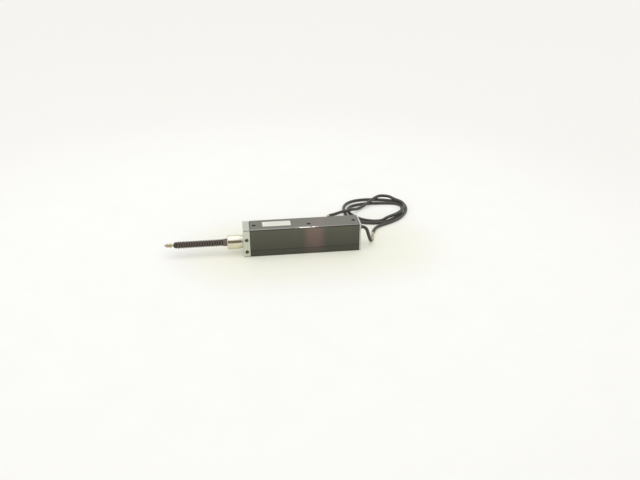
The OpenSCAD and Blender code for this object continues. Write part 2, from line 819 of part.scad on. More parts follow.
module glass_scale() {
    color([0.8, 0.88, 0.86, 0.6])
        box([x_scale, -scale_t / 2, scale_z], [scale_len, scale_t, scale_top - scale_z]);
}

module head_bracket() {
    color([0.6, 0.6, 0.62]) {
        cross_bar(x_head, head_w, mid_screw_y);
        for (side = [-1, 1])
            box([x_head - optic_w / 2, side * (leg_gap + leg_t) / 2 - leg_t / 2, head_low],
                [optic_w, leg_t, head_h]);
    }
}

// Height of the optical axis of the reading head
optic_z = head_low + head_h / 2;

module led_block() {
    depth = leg_gap / 2 - grating_y;
    color([0.1, 0.1, 0.1])
        difference() {
            box([x_head - optic_w / 2, -leg_gap / 2, head_low], [optic_w, depth, head_h]);
            translate([x_head, -grating_y + cut, optic_z]) rotate([90, 0, 0])
                cylinder(h = 1.4 + cut, d = lens_d);
        }
}

module collimator_lens() {
    sag = 0.3;
    ball_r = (lens_d * lens_d / 4 + sag * sag) / (2 * sag);
    color([0.85, 0.9, 0.9, 0.6])
        translate([x_head, -grating_y - 1.4, optic_z]) rotate([-90, 0, 0])
            intersection() {
                cylinder(h = 1.4, d = lens_d);
                translate([0, 0, 1.4 - ball_r]) sphere(r = ball_r);
            }
}

module sensor_board() {
    color([0.1, 0.35, 0.2])
        box([x_head - optic_w / 2, sensor_y, head_low], [optic_w, sensor_board_t, head_h]);
}

module photodiode_array() {
    low_y = grating_y + grating_t;
    color([0.2, 0.2, 0.24])
        box([x_head - optic_w / 2 + 0.6, low_y, head_low + 0.8],
            [optic_w - 1.2, sensor_y - low_y, head_h - 1.6]);
}

module index_grating() {
    color([0.7, 0.8, 0.78, 0.6])
        box([x_head - optic_w / 2 + 0.4, grating_y, head_low + 0.6],
            [optic_w - 0.8, grating_t, head_h - 1.2]);
}

module sensor_ribbon() {
    x0 = x_head + optic_w / 2;
    x1 = x_board + ribbon_w;
    y0 = sensor_y + sensor_board_t / 2;
    y1 = board_y - ribbon_t;
    color([0.8, 0.55, 0.2])
        translate([0, 0, optic_z - ribbon_w / 2]) linear_extrude(ribbon_w)
            polygon([[x0, y0], [x0 + 2, y0], [x1 - 2, y1], [x1, y1], [x1, y1 + ribbon_t],
                [x1 - 2, y1 + ribbon_t], [x0 + 2, y0 + ribbon_t], [x0, y0 + ribbon_t]]);
}

// Places its child at the two screws of the main board, pointing along +Y
module at_board_screws(y) {
    for (x = [x_board + 6, x_board_end - 7])
        translate([x, y, port_high_z]) rotate([-90, 0, 0]) children();
}

module main_board() {
    color([0.08, 0.32, 0.18])
        difference() {
            box([x_board, board_y, board_low],
                [x_board_end - x_board, board_t, board_top - board_low]);
            at_board_screws(board_y) cylinder(h = 2 * board_t + cut, d = end_screw_d, center = true);
        }
}

// A part on the main board, at a distance along it and a height above its lower edge
module chip(along_board, up, w, h, t) {
    box([x_board + along_board, board_y - t, board_low + up], [w, t, h]);
}

module board_parts() {
    middle = (x_board_end - x_board - side_chip_w) / 2;
    color([0.12, 0.12, 0.13]) {
        chip(chip_margin, chip_rise, main_chip_w, main_chip_h, main_chip_t);
        chip(middle, chip_rise, side_chip_w, side_chip_h, side_chip_t);
        chip(middle, 2 * chip_rise + side_chip_h, side_chip_w, side_chip_h, side_chip_t);
        chip(x_board_end - x_board - chip_margin - 2 * plug_w, chip_rise, plug_w, side_chip_h, plug_t);
    }
}

module board_screws() {
    color([0.7, 0.7, 0.7])
        at_board_screws(board_y) {
            cylinder(h = board_t + rib_w - 1, d = end_screw_d);
            translate([0, 0, -0.8]) cylinder(h = 0.8, d = end_head_d - 0.6);
        }
}

// Route of the spring wire round a post, from the given angle
function hook(x, start) = [for (k = [1:9]) let (a = start - 33 * k)
    [x + hook_r * cos(a), spring_y + hook_r * sin(a), spring_z]];

// Route of the wire through the coils, ten steps to a turn
function coils(x0, x1) = let (r = (spring_d - spring_wire) / 2, last = spring_turns * 10)
    [for (i = [0:last])
        [x0 + (x1 - x0) * i / last, spring_y + r * sin(36 * i), spring_z + r * cos(36 * i)]];

module return_spring() {
    x0 = x_post_front + hook_r + 1.2;
    x1 = x_post_rear - hook_r - 1.2;
    color([0.7, 0.7, 0.72])
        swept(concat(hook(x_post_front, 330), coils(x0, x1), hook(x_post_rear, 180)), spring_wire, 5);
}

module spring_anchor() {
    color([0.6, 0.6, 0.6])
        translate([x_post_front, spring_y, floor_t / 2])
            cylinder(h = post_top - floor_t / 2, d = post_d);
}

module cable_ferrule() {
    front = x_body_end - ferrule_in;
    color([0.72, 0.72, 0.72])
        difference() {
            along(front, gland_z) cylinder(h = ferrule_len, d = cable_d + 1.6);
            along(front - cut, gland_z)
                cylinder(h = ferrule_len + 2 * cut, d = cable_d + 2 * cable_gap);
        }
}

// Sideways place of core k in the cable
function core_place(k) = core_ring * [cos(90 * k + 45), sin(90 * k + 45)];

module inner_leads() {
    start = LEAD[0] - [core_gap, 0, 0];
    pad_x = x_board_end - 4.5;
    color([0.75, 0.7, 0.6])
        for (k = [0:3]) {
            place = core_place(k);
            pad_z = start[2] - pad_drop + pad_pitch * ((k + 2) % 4);
            swept([start + [0, place[0], place[1]], start + [-1, place[0], place[1]],
                [pad_x + 0.6, board_y - 2.6, (start[2] + pad_z) / 2], [pad_x, board_y - 1.2, pad_z],
                [pad_x, board_y, pad_z]], core_d, core_sides);
        }
}

module cable_lead() {
    color([0.2, 0.2, 0.2]) swept(LEAD, cable_d, cable_sides);
}

// Four cores along a route, straight at both ends and fanned out between them by the given share
module cores(p, fan) {
    last = len(p) - 1;
    for (k = [0:3]) {
        place = core_place(k);
        swept([for (i = [0:last])
            let (bend = min(max(i - 1, 0), last - 2),
                t = heading(p, bend == 0 ? 0 : bend == last - 2 ? last : i),
                up = squared([0, 0, 1], t),
                spread = 1 + fan * sin(180 * bend / (last - 2)))
            p[i] + cross(t, up) * place[0] * spread + up * place[1]], core_d, core_sides);
    }
}

// The cores leave both jackets square to their cut ends
module cable_cores() {
    last = len(BARE) - 1;
    out = heading(LEAD, len(LEAD) - 1);
    into = heading(RUN, 0);
    route = concat([BARE[0] + core_gap * out, BARE[0] + core_lead * out],
        [for (i = [1:last - 1]) BARE[i]],
        [BARE[last] - core_lead * into, BARE[last] - core_gap * into]);
    color([0.72, 0.66, 0.55]) cores(route, bare_fan);
}

module cable_run() {
    color([0.2, 0.2, 0.2]) swept(RUN, cable_d, cable_sides);
}

module cable_end_cores() {
    end = RUN[len(RUN) - 1];
    t = heading(RUN, len(RUN) - 1);
    color([0.72, 0.66, 0.55]) cores([for (i = [0:3]) end + t * stub_len * i / 3], 0);
}

front_block();
front_gasket();
front_screws();
housing();
top_cover();
cover_screws();
cover_bars();
blank_label();
rear_gasket();
rear_plate();
rear_screws();
cable_gland();
gland_nut();
stem();
bellows_spigot();
wiper_ring();
guide_tube();
cage_stop_ring();
ball_cage();
cage_balls();
stop_bumper();
bellows();
spindle();
contact_point();
contact_ball();
carriage();
guide_shoe();
guide_rail();
rail_screws();
glass_scale();
head_bracket();
led_block();
collimator_lens();
sensor_board();
photodiode_array();
index_grating();
sensor_ribbon();
main_board();
board_parts();
board_screws();
return_spring();
spring_anchor();
cable_ferrule();
inner_leads();
cable_lead();
cable_cores();
cable_run();
cable_end_cores();
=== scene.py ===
import math

import bmesh
import bpy
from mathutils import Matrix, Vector


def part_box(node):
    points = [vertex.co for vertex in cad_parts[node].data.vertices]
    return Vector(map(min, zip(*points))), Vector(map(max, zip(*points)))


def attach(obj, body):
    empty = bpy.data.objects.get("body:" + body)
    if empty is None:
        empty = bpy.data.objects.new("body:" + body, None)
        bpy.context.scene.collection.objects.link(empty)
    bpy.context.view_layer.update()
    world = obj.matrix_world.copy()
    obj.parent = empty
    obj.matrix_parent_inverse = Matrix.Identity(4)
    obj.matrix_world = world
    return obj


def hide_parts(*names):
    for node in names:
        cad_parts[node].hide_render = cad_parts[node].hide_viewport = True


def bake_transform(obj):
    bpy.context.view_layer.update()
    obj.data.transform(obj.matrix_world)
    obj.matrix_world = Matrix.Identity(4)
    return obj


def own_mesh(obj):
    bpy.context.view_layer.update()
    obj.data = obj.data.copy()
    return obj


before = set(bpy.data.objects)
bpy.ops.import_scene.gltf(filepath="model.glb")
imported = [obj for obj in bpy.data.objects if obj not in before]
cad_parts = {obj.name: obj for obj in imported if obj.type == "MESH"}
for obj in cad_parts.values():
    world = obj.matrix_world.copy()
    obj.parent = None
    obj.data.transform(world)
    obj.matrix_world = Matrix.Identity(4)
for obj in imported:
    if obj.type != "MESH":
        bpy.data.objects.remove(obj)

bl_info = {
    "name": "Linear gauge sensor",
    "version": (1, 0, 0),
    "blender": (4, 5, 0),
    "location": "3D View > Sidebar > Gauge",
    "description": "Dresses a linear gauge sensor with its finishes, bellows, screws and loose cable",
    "category": "Object",
}

MM = 0.001
FULL_TURN = 2 * math.pi
QUARTER_TURN = math.pi / 2
AXIS_Z = 0.5 * (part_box("stem")[0][2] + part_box("stem")[1][2])

# The camera stands where the photograph was taken, beside the gauge and above it.
CAMERA_PLACE = (-0.0332, -0.691, 0.3502)
CAMERA_LOOKS_DOWN = 26.06
CAMERA_LOOKS_RIGHT = 7.66

# Where along the gauge a warm reflection is painted on, and where its cover's edge wears to bare metal,
# painted bright as a glint.
WARM_REFLECTION_SIDE_X = 0.0525
WARM_REFLECTION_COVER_X = 0.0555
WORN_GLINT_X = 0.0455

# Height of the sides' lower band, and how far the front block's long edges are rounded.
BAND_TOP_Z = 0.007
BLOCK_ROUNDING = 0.0016

# The cable's route in millimetres, the same points as the model's source.
LEAD = [(90, 0, 22.2), (97, 0, 22.2), (102, 0, 22.2), (104.8, 0, 22.2), (107, 0, 21.8),
        (109.1, -0.1, 20.6), (110.6, -0.3, 18.8), (111.5, -0.5, 16.4), (112.3, -0.6, 13.9),
        (113.4, -0.4, 10.3), (114.4, 0, 7.2), (115.6, 1.6, 4.6), (117, 4.6, 2.9)]
BARE = [(117, 4.6, 2.9), (118.5, 8.8, 1.9), (120.2, 14.4, 1.7), (121.8, 20.2, 1.8), (123.4, 26, 1.9)]
RUN = [(123.4, 26, 1.9), (126.2, 33, 1.9), (131, 39.8, 1.9), (139.4, 45.6, 1.9), (150.5, 51.8, 1.9),
       (161.5, 60.6, 1.9), (170, 72, 1.9), (175.4, 84.5, 1.9), (176.9, 96.5, 1.9), (174.5, 104.5, 1.9),
       (168.5, 110, 1.9), (157.5, 115.5, 1.9), (144, 119, 1.9), (131.5, 120.5, 1.9),
       (120.5, 119, 1.9), (111.5, 114.5, 1.9), (105, 107, 1.9), (101.8, 98, 1.9), (100.8, 87, 1.9),
       (101.5, 75, 1.9), (105, 65, 1.9), (111.5, 57.4, 1.9), (120, 53.2, 1.9), (129.5, 51, 1.9),
       (138.5, 51, 1.9), (148, 55.4, 1.9), (158.6, 64.2, 1.9), (166.6, 74.6, 1.9), (171, 86.5, 1.9),
       (172.2, 95.8, 1.9), (169, 101.8, 1.9), (163.5, 105, 1.9), (155, 106.5, 1.9),
       (143.5, 107.5, 1.9), (132.5, 108, 1.9), (122, 106.5, 1.9), (112.8, 103, 1.9),
       (107.2, 96.5, 1.9), (105.6, 87, 1.9), (107.6, 78, 1.9), (111.8, 69.8, 1.9), (117.4, 63.2, 1.9),
       (124, 58.8, 1.9), (132, 56.2, 1.9), (139.6, 56, 2.4), (146.8, 57.9, 5), (154.4, 61.6, 5.8),
       (162.3, 67.8, 5.7), (169, 77, 5.5), (173.6, 87.5, 5.5), (174.2, 95.5, 5.5), (172, 101.2, 5.7),
       (168.3, 105.8, 5.9), (165.3, 111, 5.9), (162, 117.5, 5.7), (156.5, 121.5, 5.4),
       (150, 121, 5.7), (144.3, 116, 5.9), (138, 109, 6), (130.5, 102.5, 4.2), (123, 96.5, 2.6),
       (116, 90, 3.4), (109.5, 84, 5.8), (103, 81, 5.9), (96.5, 80.5, 5), (88.5, 80.5, 2.6),
       (81, 78.5, 1.9)]


def linear(code):
    """An sRGB hex colour as linear red, green and blue."""
    parts = [int(code[i:i + 2], 16) / 255 for i in (1, 3, 5)]
    return tuple(v / 12.92 if v <= 0.04045 else ((v + 0.055) / 1.055) ** 2.4 for v in parts)


# Settings that a user would change.

class CableSettings(bpy.types.PropertyGroup):
    jacket_width: bpy.props.FloatProperty(
        name="Jacket width", description="Diameter of the cable's jacket", default=0.0036,
        min=0.003, max=0.004, unit="LENGTH", precision=4)
    core_width: bpy.props.FloatProperty(
        name="Core width", description="Diameter of one insulated core", default=0.0011,
        min=0.0008, max=0.0012, unit="LENGTH", precision=4)
    jacket_colour: bpy.props.FloatVectorProperty(
        name="Jacket colour", description="Colour of the cable's jacket", subtype="COLOR",
        default=linear("#3d3b34"), min=0, max=1)


class BellowsSettings(bpy.types.PropertyGroup):
    folds: bpy.props.IntProperty(
        name="Folds", description="Number of folds along the bellows", default=18, min=12, max=30)
    fold_depth: bpy.props.FloatProperty(
        name="Fold depth", description="Height of a crest over a valley", default=0.00115,
        min=0.0004, max=0.0012, unit="LENGTH", precision=5)
    crest_width: bpy.props.FloatProperty(
        name="Crest width", description="Diameter over the crests", default=0.008,
        min=0.006, max=0.0084, unit="LENGTH", precision=4)
    wall: bpy.props.FloatProperty(
        name="Wall", description="Thickness of the rubber in the folds", default=0.00035,
        min=0.0002, max=0.0004, unit="LENGTH", precision=5)
    rubber_colour: bpy.props.FloatVectorProperty(
        name="Rubber colour", description="Colour of the bellows", subtype="COLOR",
        default=linear("#4a4139"), min=0, max=1)


class FinishSettings(bpy.types.PropertyGroup):
    housing_colour: bpy.props.FloatVectorProperty(
        name="Housing colour", description="Colour of the anodised housing", subtype="COLOR",
        default=linear("#383726"), min=0, max=1)
    # The cover's colour is paler than the housing's, partly as a painted sheen on its upper face.
    cover_colour_with_sheen: bpy.props.FloatVectorProperty(
        name="Cover colour", description="Colour of the anodised cover", subtype="COLOR",
        default=linear("#4c4938"), min=0, max=1)
    block_colour: bpy.props.FloatVectorProperty(
        name="Block colour", description="Colour of the front block", subtype="COLOR",
        default=linear("#d3d6c8"), min=0, max=1)
    stem_colour: bpy.props.FloatVectorProperty(
        name="Stem colour", description="Colour of the plated stem", subtype="COLOR",
        default=linear("#e2ddc6"), min=0, max=1)
    edge_wear: bpy.props.FloatProperty(
        name="Edge wear", description="How far the black wears off the cover's edges", default=0.5,
        min=0, max=1, subtype="FACTOR")
    screw_twist_seed: bpy.props.IntProperty(
        name="Screw twist seed", description="Changes how far each screw was turned", default=4,
        min=0, max=100)


class StageSettings(bpy.types.PropertyGroup):
    floor_colour: bpy.props.FloatVectorProperty(
        name="Floor colour", description="Colour of the table top", subtype="COLOR",
        default=linear("#fafaf9"), min=0, max=1)
    lens: bpy.props.FloatProperty(
        name="Lens", description="Focal length of the camera in millimetres", default=40.56,
        min=20, max=90)
    sky_strength: bpy.props.FloatProperty(
        name="Sky strength", description="Strength of the even light from all round", default=0.48,
        min=0, max=2)
    window_strength: bpy.props.FloatProperty(
        name="Window strength", description="Strength of the even light that falls from one side",
        default=1.84, min=0, max=6)
    lamp_power: bpy.props.FloatProperty(
        name="Lamp power", description="Power of the overhead soft lamp in watts", default=1.0,
        min=0, max=60)


# Node helpers.

def add(tree, kind, *inputs, named=None, out=0, **settings):
    """Adds one node with its settings and gives one of its outputs.

    Inputs are given in order, or by name or number. Each is a value, or a socket to link.
    """
    node = tree.nodes.new(kind)
    for name, value in settings.items():
        setattr(node, name, value)
    for key, value in (*enumerate(inputs), *(named or {}).items()):
        socket = node.inputs[key]
        if isinstance(value, bpy.types.NodeSocket):
            tree.links.new(value, socket)
        elif socket.type == "RGBA" and len(value) == 3:
            socket.default_value = (*value, 1)
        else:
            socket.default_value = value
    return node.outputs[out] if node.outputs else node


def start_material(name, **constants):
    """A new material with its shader's constant sockets set. Gives material, tree and shader."""
    made = bpy.data.materials.new(name)
    made.use_nodes = True
    tree = made.node_tree
    tree.nodes.clear()
    named = {key.replace("_", " "): value for key, value in constants.items()}
    surface = add(tree, "ShaderNodeBsdfPrincipled", named=named)
    add(tree, "ShaderNodeOutputMaterial", surface)
    return made, tree, surface.node


def position(tree):
    """The X, Y and Z of each point of the piece, in metres."""
    place = add(tree, "ShaderNodeTexCoord", out="Object")
    return add(tree, "ShaderNodeSeparateXYZ", place).node.outputs


def distance(tree, place, middle=0.0):
    """How far a value is from a middle, to either side."""
    apart = add(tree, "ShaderNodeMath", place, middle, operation="SUBTRACT")
    return add(tree, "ShaderNodeMath", apart, operation="ABSOLUTE")


def grain(tree, size, stretch=(1, 1, 1), detail=2.0, rough=0.5):
    """Noise on Object coordinates with features about size metres wide, drawn out where stretch is small."""
    place = add(tree, "ShaderNodeTexCoord", out="Object")
    turned = add(tree, "ShaderNodeMapping", place, named={"Scale": stretch})
    return add(tree, "ShaderNodeTexNoise", turned, out="Fac",
               named={"Scale": 1 / size, "Detail": detail, "Roughness": rough})


def coat(tree, tone, colour, pattern, start=0.3, end=0.7, low=0.0, high=1.0, ease="LINEAR"):
    """Lays a colour over a tone. Its share goes from low to high while the pattern goes from start to end."""
    share = add(tree, "ShaderNodeMapRange", pattern, start, end, low, high, interpolation_type=ease)
    return add(tree, "ShaderNodeMix", named={0: share, 6: tone, 7: colour}, out=2, data_type="RGBA")


def finish_surface(tree, shader, tone, pattern, rough, depth, strength, relief=None):
    """Links the colour, a roughness that follows a pattern, and a relief whose depth is in metres."""
    tree.links.new(tone, shader.inputs["Base Color"])
    tree.links.new(add(tree, "ShaderNodeMapRange", pattern, 0.3, 0.7, *rough), shader.inputs["Roughness"])
    height = pattern if relief is None else relief
    raised = add(tree, "ShaderNodeBump", strength, depth, named={"Height": height})
    tree.links.new(raised, shader.inputs["Normal"])


def shade(colour, factor):
    """A linear colour made darker or lighter."""
    return tuple(min(1.0, v * factor) for v in colour)


# Materials.

def black_anodised_aluminium(finish, cover=False):
    """Blasted and black anodised extrusion: a soft satin sheen, bare metal where an edge wears through, its
    colour painted near white as a glint.
    """
    made, tree, shader = start_material(
        "Black anodised aluminium cover" if cover else "Black anodised aluminium",
        IOR=2.0 if cover else 1.7)
    black = finish.cover_colour_with_sheen if cover else finish.housing_colour
    # A near-black colour for painted shade in the joint between the housing and the cover.
    darkening, smooth = linear("#0b0a09"), "SMOOTHSTEP"
    x, y, z = position(tree)
    cloud = grain(tree, 0.018, detail=3.0)
    # Blast grain is about 0.08 mm. It is drawn at 0.3 mm so that it shows.
    blast = grain(tree, 0.0003, detail=1.0)
    drawn = grain(tree, 0.0009, stretch=(0.03, 1, 1))
    colour = coat(tree, shade(black, 0.9), shade(black, 1.14), cloud)
    colour = coat(tree, colour, shade(black, 0.7), blast, high=0.35)
    # A warm brown reflection is painted on, most of all on the sides and faintly on the cover.
    reflection_strength = 0.4 if cover else 1.0
    reflection_share = add(tree, "ShaderNodeMath", cloud, 0.6 * reflection_strength, 0.3 * reflection_strength, operation="MULTIPLY_ADD")
    from_warm_reflection = distance(tree, x, WARM_REFLECTION_COVER_X if cover else WARM_REFLECTION_SIDE_X)
    colour = coat(tree, colour, linear("#6d5248"), from_warm_reflection, 0.004, 0.014, reflection_share, 0.0, smooth)
    if cover:
        low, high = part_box("top_cover")
        edge = high[2] - low[1]
        toward_edge = add(tree, "ShaderNodeMath", z, y, operation="SUBTRACT")
        # A pale line on the near chamfer is a painted highlight, stronger toward the front. Below it the
        # joint is painted dark, as shade.
        chamfer_highlight = add(tree, "ShaderNodeMapRange", x, 0.0, 0.09, 0.5, 0.25)
        colour = coat(tree, colour, linear("#cfcfc8"), toward_edge, edge - 0.0006, edge - 0.00045, 0.0, chamfer_highlight,
                      smooth)
        colour = coat(tree, colour, darkening, z, low[2] + 0.00082, low[2] + 0.00072)
        # A little past the middle of the housing that edge wears through to the metal.
        chips = grain(tree, 0.0032, stretch=(1, 1.5, 1.5), detail=4.0, rough=0.65)
        from_wear_and_glint = distance(tree, x, WORN_GLINT_X)
        wear = 0.24 + 0.2 * finish.edge_wear
        reach = add(tree, "ShaderNodeMapRange", from_wear_and_glint, 0.006, 0.017, wear + 0.29, wear - 0.06,
                    interpolation_type=smooth)
        chipped = add(tree, "ShaderNodeMath", chips, reach, operation="LESS_THAN")
        wear_and_glint = add(tree, "ShaderNodeMapRange", toward_edge, edge - 0.00115, edge - 0.00075, 0.0, chipped,
                   interpolation_type=smooth)
    else:
        low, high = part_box("housing")
        # The sides are painted paler toward the top and darker toward the band, as painted reflection and
        # shade.
        painted_shade_ramp = coat(tree, (0.6, 0.6, 0.6), (1.4, 1.4, 1.4), z, BAND_TOP_Z, high[2])
        colour = add(tree, "ShaderNodeMix", named={0: 1.0, 6: colour, 7: painted_shade_ramp}, out=2, data_type="RGBA",
                     blend_type="MULTIPLY")
        # The lower band stands back; the shade on it is painted in as a darker colour.
        colour = coat(tree, colour, shade(black, 0.45), z, BAND_TOP_Z - 0.0001, BAND_TOP_Z + 0.0003, 0.5, 0.0,
                      smooth)
        # The top rim of the sides is painted dark as the shade in the joint under the cover.
        colour = coat(tree, colour, darkening, z, high[2] - 0.0003, high[2] - 0.00015)
        chips = grain(tree, 0.0025, detail=4.0, rough=0.7)
        toward_edge = add(tree, "ShaderNodeMath", distance(tree, y), z, operation="SUBTRACT")
        chipped = add(tree, "ShaderNodeMath", chips, 0.3 + 0.1 * finish.edge_wear, operation="LESS_THAN")
        wear_and_glint = add(tree, "ShaderNodeMapRange", toward_edge, high[1] - 0.001, high[1] - 0.0004, 0.0, chipped)
    # Bare metal where an edge wears through: partly real wear, partly a glint painted into its near white
    # colour.
    colour = coat(tree, colour, linear("#f2f2ec"), wear_and_glint, 0.0, 1.0)
    metal = add(tree, "ShaderNodeMath", wear_and_glint, 0.5, operation="MULTIPLY")
    tree.links.new(metal, shader.inputs["Metallic"])
    relief = add(tree, "ShaderNodeMath", drawn, 0.6, blast, operation="MULTIPLY_ADD")
    finish_surface(tree, shader, colour, drawn, (0.30, 0.40), 0.000012, 0.55, relief)
    return made


def satin_aluminium(name, colour, rough=0.4, mill=(1, 0.08, 1), block=None):
    """Milled and clear anodised aluminium: a pale even metal with fine cutter lines.

    On a block whose box is given, its top face is painted darker as shade, and painted shade lines the
    rounded long edges and the foot.
    """
    made, tree, shader = start_material(name, Metallic=0.82)
    lines = grain(tree, 0.0005, stretch=mill)
    cloud = grain(tree, 0.007, detail=3.0)
    tone = coat(tree, shade(colour, 0.93), shade(colour, 1.05), cloud)
    tone = coat(tree, tone, shade(colour, 0.8), lines, high=0.3)
    if block:
        (_, _, bottom), (_, side, top) = block
        _, y, z = position(tree)
        # The top face is painted darker, as shade.
        tone = coat(tree, tone, shade(colour, 0.78), z, top - 0.0003, top - 0.0001, high=0.8)
        off_middle = distance(tree, z, (bottom + top) / 2)
        outward = add(tree, "ShaderNodeMath", off_middle, distance(tree, y), operation="ADD")
        # The middle of a rounded edge lies this far out, less than the box's corner.
        edge = (top - bottom) / 2 + side - (2 - math.sqrt(2)) * BLOCK_ROUNDING
        # Painted shade: a dark line on the middle of the rounded long edges, over their highlight, and a dark
        # strip along the foot.
        line = add(tree, "ShaderNodeMapRange", outward, edge - 0.00025, edge - 0.0001, 0.0, 0.8)
        foot = add(tree, "ShaderNodeMapRange", z, 0.0005, 0.0014, 1.0, 0.0)
        painted_edge_shade = add(tree, "ShaderNodeMath", line, foot, operation="MAXIMUM")
        tone = coat(tree, tone, shade(colour, 0.4), painted_edge_shade, 0.0, 1.0)
    finish_surface(tree, shader, tone, lines, (rough - 0.05, rough + 0.07), 0.00001, 0.5)
    return made


def plated_steel(name, colour, rough=0.15):
    """Ground and nickel plated steel: a warm mirror with faint rings from grinding."""
    made, tree, shader = start_material(name, Metallic=1.0)
    rings = grain(tree, 0.00035, stretch=(1, 0.04, 0.04))
    smear = grain(tree, 0.004, stretch=(0.6, 1, 1), detail=4.0)
    tone = coat(tree, shade(colour, 0.9), colour, smear)
    finish_surface(tree, shader, tone, rings, (rough - 0.03, rough + 0.07), 0.000004, 0.6)
    return made


def turned_metal(name, colour, rough=0.3):
    """Lathe-turned metal: concentric tool marks and a slightly dulled colour."""
    made, tree, shader = start_material(name, Metallic=0.95)
    rings = grain(tree, 0.0003, stretch=(1, 0.1, 0.1))
    stain = grain(tree, 0.0015, detail=4.0, rough=0.6)
    tone = coat(tree, shade(colour, 0.62), colour, stain, 0.35, 0.7)
    finish_surface(tree, shader, tone, rings, (rough - 0.06, rough + 0.1), 0.00001, 0.6)
    return made


def blackened_steel(name, colour):
    """Black oxide screws: oily dark metal, brighter where the driver has rubbed."""
    made, tree, shader = start_material(name, Metallic=0.75)
    rub = grain(tree, 0.0006, detail=4.0, rough=0.7)
    tone = coat(tree, colour, linear("#77726a"), rub, 0.58, 0.72)
    finish_surface(tree, shader, tone, rub, (0.5, 0.32), 0.00001, 0.5)
    return made


def moulded_rubber(name, colour, rough=0.55, dust=0.35, crest=None):
    """Nitrile rubber from a mould: near black with a soft sheen.

    With a crest radius, the valleys of the folds get painted shade and the crests a painted highlight.
    """
    made, tree, shader = start_material(name, IOR=1.52)
    skin = grain(tree, 0.0004, detail=3.0)
    cloud = grain(tree, 0.003, detail=4.0, rough=0.65)
    tone = coat(tree, shade(colour, 0.75), shade(colour, 1.15), cloud, 0.35, 0.65)
    tone = coat(tree, tone, linear("#7b736a"), skin, 0.55, 0.75, high=dust)
    if crest:
        place = add(tree, "ShaderNodeTexCoord", out="Object")
        off_axis = add(tree, "ShaderNodeVectorMath", place, (0, 0, AXIS_Z), operation="SUBTRACT")
        spoke = add(tree, "ShaderNodeVectorMath", off_axis, (0, 1, 1), operation="MULTIPLY")
        radius = add(tree, "ShaderNodeVectorMath", spoke, out="Value", operation="LENGTH")
        # Painted shade in the valleys, then a painted highlight on the crests.
        tone = coat(tree, tone, linear("#120e0c"), radius, crest - 0.001, crest - 0.0004, 0.6, 0.0)
        tone = coat(tree, tone, linear("#83796e"), radius, crest - 0.0004, crest, 0.0, 0.45)
    finish_surface(tree, shader, tone, skin, (rough - 0.08, rough + 0.12), 0.00002, 0.5)
    return made


def cable_jacket(name, colour):
    """Extruded PVC over twisted cores: satin, with a faint swell where a core lies under it, and scuffs."""
    made, tree, shader = start_material(name, IOR=1.53)
    scuff = grain(tree, 0.0016, detail=5.0, rough=0.7)
    skin = grain(tree, 0.0003)
    tone = coat(tree, shade(colour, 0.8), shade(colour, 1.2), scuff, 0.35, 0.65)
    tone = coat(tree, tone, linear("#6d6a64"), scuff, 0.66, 0.78, high=0.5)
    # Four cores twist under the jacket. The next one comes up after every 1/26 m along it.
    unrolled = add(tree, "ShaderNodeUVMap", uv_map="along")
    phase = add(tree, "ShaderNodeVectorMath", unrolled, (4 * FULL_TURN, 26 * FULL_TURN, 0), out="Value",
                operation="DOT_PRODUCT")
    swell = add(tree, "ShaderNodeMath", phase, operation="SINE")
    fine = add(tree, "ShaderNodeMath", skin, 0.5, operation="MULTIPLY")
    relief = add(tree, "ShaderNodeMath", swell, 0.3, fine, operation="MULTIPLY_ADD")
    finish_surface(tree, shader, tone, scuff, (0.34, 0.52), 0.00004, 0.7, relief)
    return made


def core_insulation(name, colour):
    """Thin PVC insulation: waxy and smooth, a little grubby from handling."""
    made, tree, shader = start_material(name, IOR=1.5)
    darkening = grain(tree, 0.0012, detail=3.0)
    tone = coat(tree, colour, shade(colour, 0.55), darkening, 0.45, 0.75)
    finish_surface(tree, shader, tone, darkening, (0.35, 0.5), 0.00002, 0.4)
    return made


def plain_plastic(name, colour, rough=0.45):
    """Moulded plastic: fine eroded texture and slight tone shifts."""
    made, tree, shader = start_material(name, IOR=1.48)
    skin = grain(tree, 0.0004)
    tone = coat(tree, shade(colour, 0.92), shade(colour, 1.05), skin)
    finish_surface(tree, shader, tone, skin, (rough - 0.06, rough + 0.08), 0.00001, 0.4)
    return made


def label_film(name, colour):
    """Blank label of matt polyester film: white, a little yellowed and rubbed."""
    made, tree, shader = start_material(name, IOR=1.46)
    cloud = grain(tree, 0.006, detail=4.0, rough=0.6)
    fibre = grain(tree, 0.0004)
    tone = coat(tree, colour, linear("#d9d8cd"), cloud, 0.35, 0.7)
    tone = coat(tree, tone, linear("#bdbcb2"), fibre, 0.5, 0.8, high=0.25)
    finish_surface(tree, shader, tone, fibre, (0.5, 0.65), 0.00003, 0.4, cloud)
    return made


def scale_glass(name):
    """Clear glass with a faint green edge, for the scale and the gratings."""
    made, tree, shader = start_material(name, IOR=1.52, Roughness=0.05, Transmission_Weight=0.85)
    bands = grain(tree, 0.0005, stretch=(1, 0.01, 0.01), detail=0.0)
    tone = coat(tree, linear("#d8ebe4"), linear("#a8bdb5"), bands, 0.45, 0.55)
    tree.links.new(tone, shader.inputs["Base Color"])
    return made


def circuit_board(name):
    """Green solder mask over copper: glossy, with tracks showing as paler lines."""
    made, tree, shader = start_material(name, IOR=1.5)
    tracks = grain(tree, 0.0018, stretch=(1, 1, 0.25), detail=0.0)
    line = add(tree, "ShaderNodeMapRange", tracks, 0.49, 0.51)
    tone = coat(tree, linear("#14492b"), linear("#1f6a3f"), line, 0.0, 1.0)
    finish_surface(tree, shader, tone, tracks, (0.25, 0.35), 0.00003, 0.4, line)
    return made


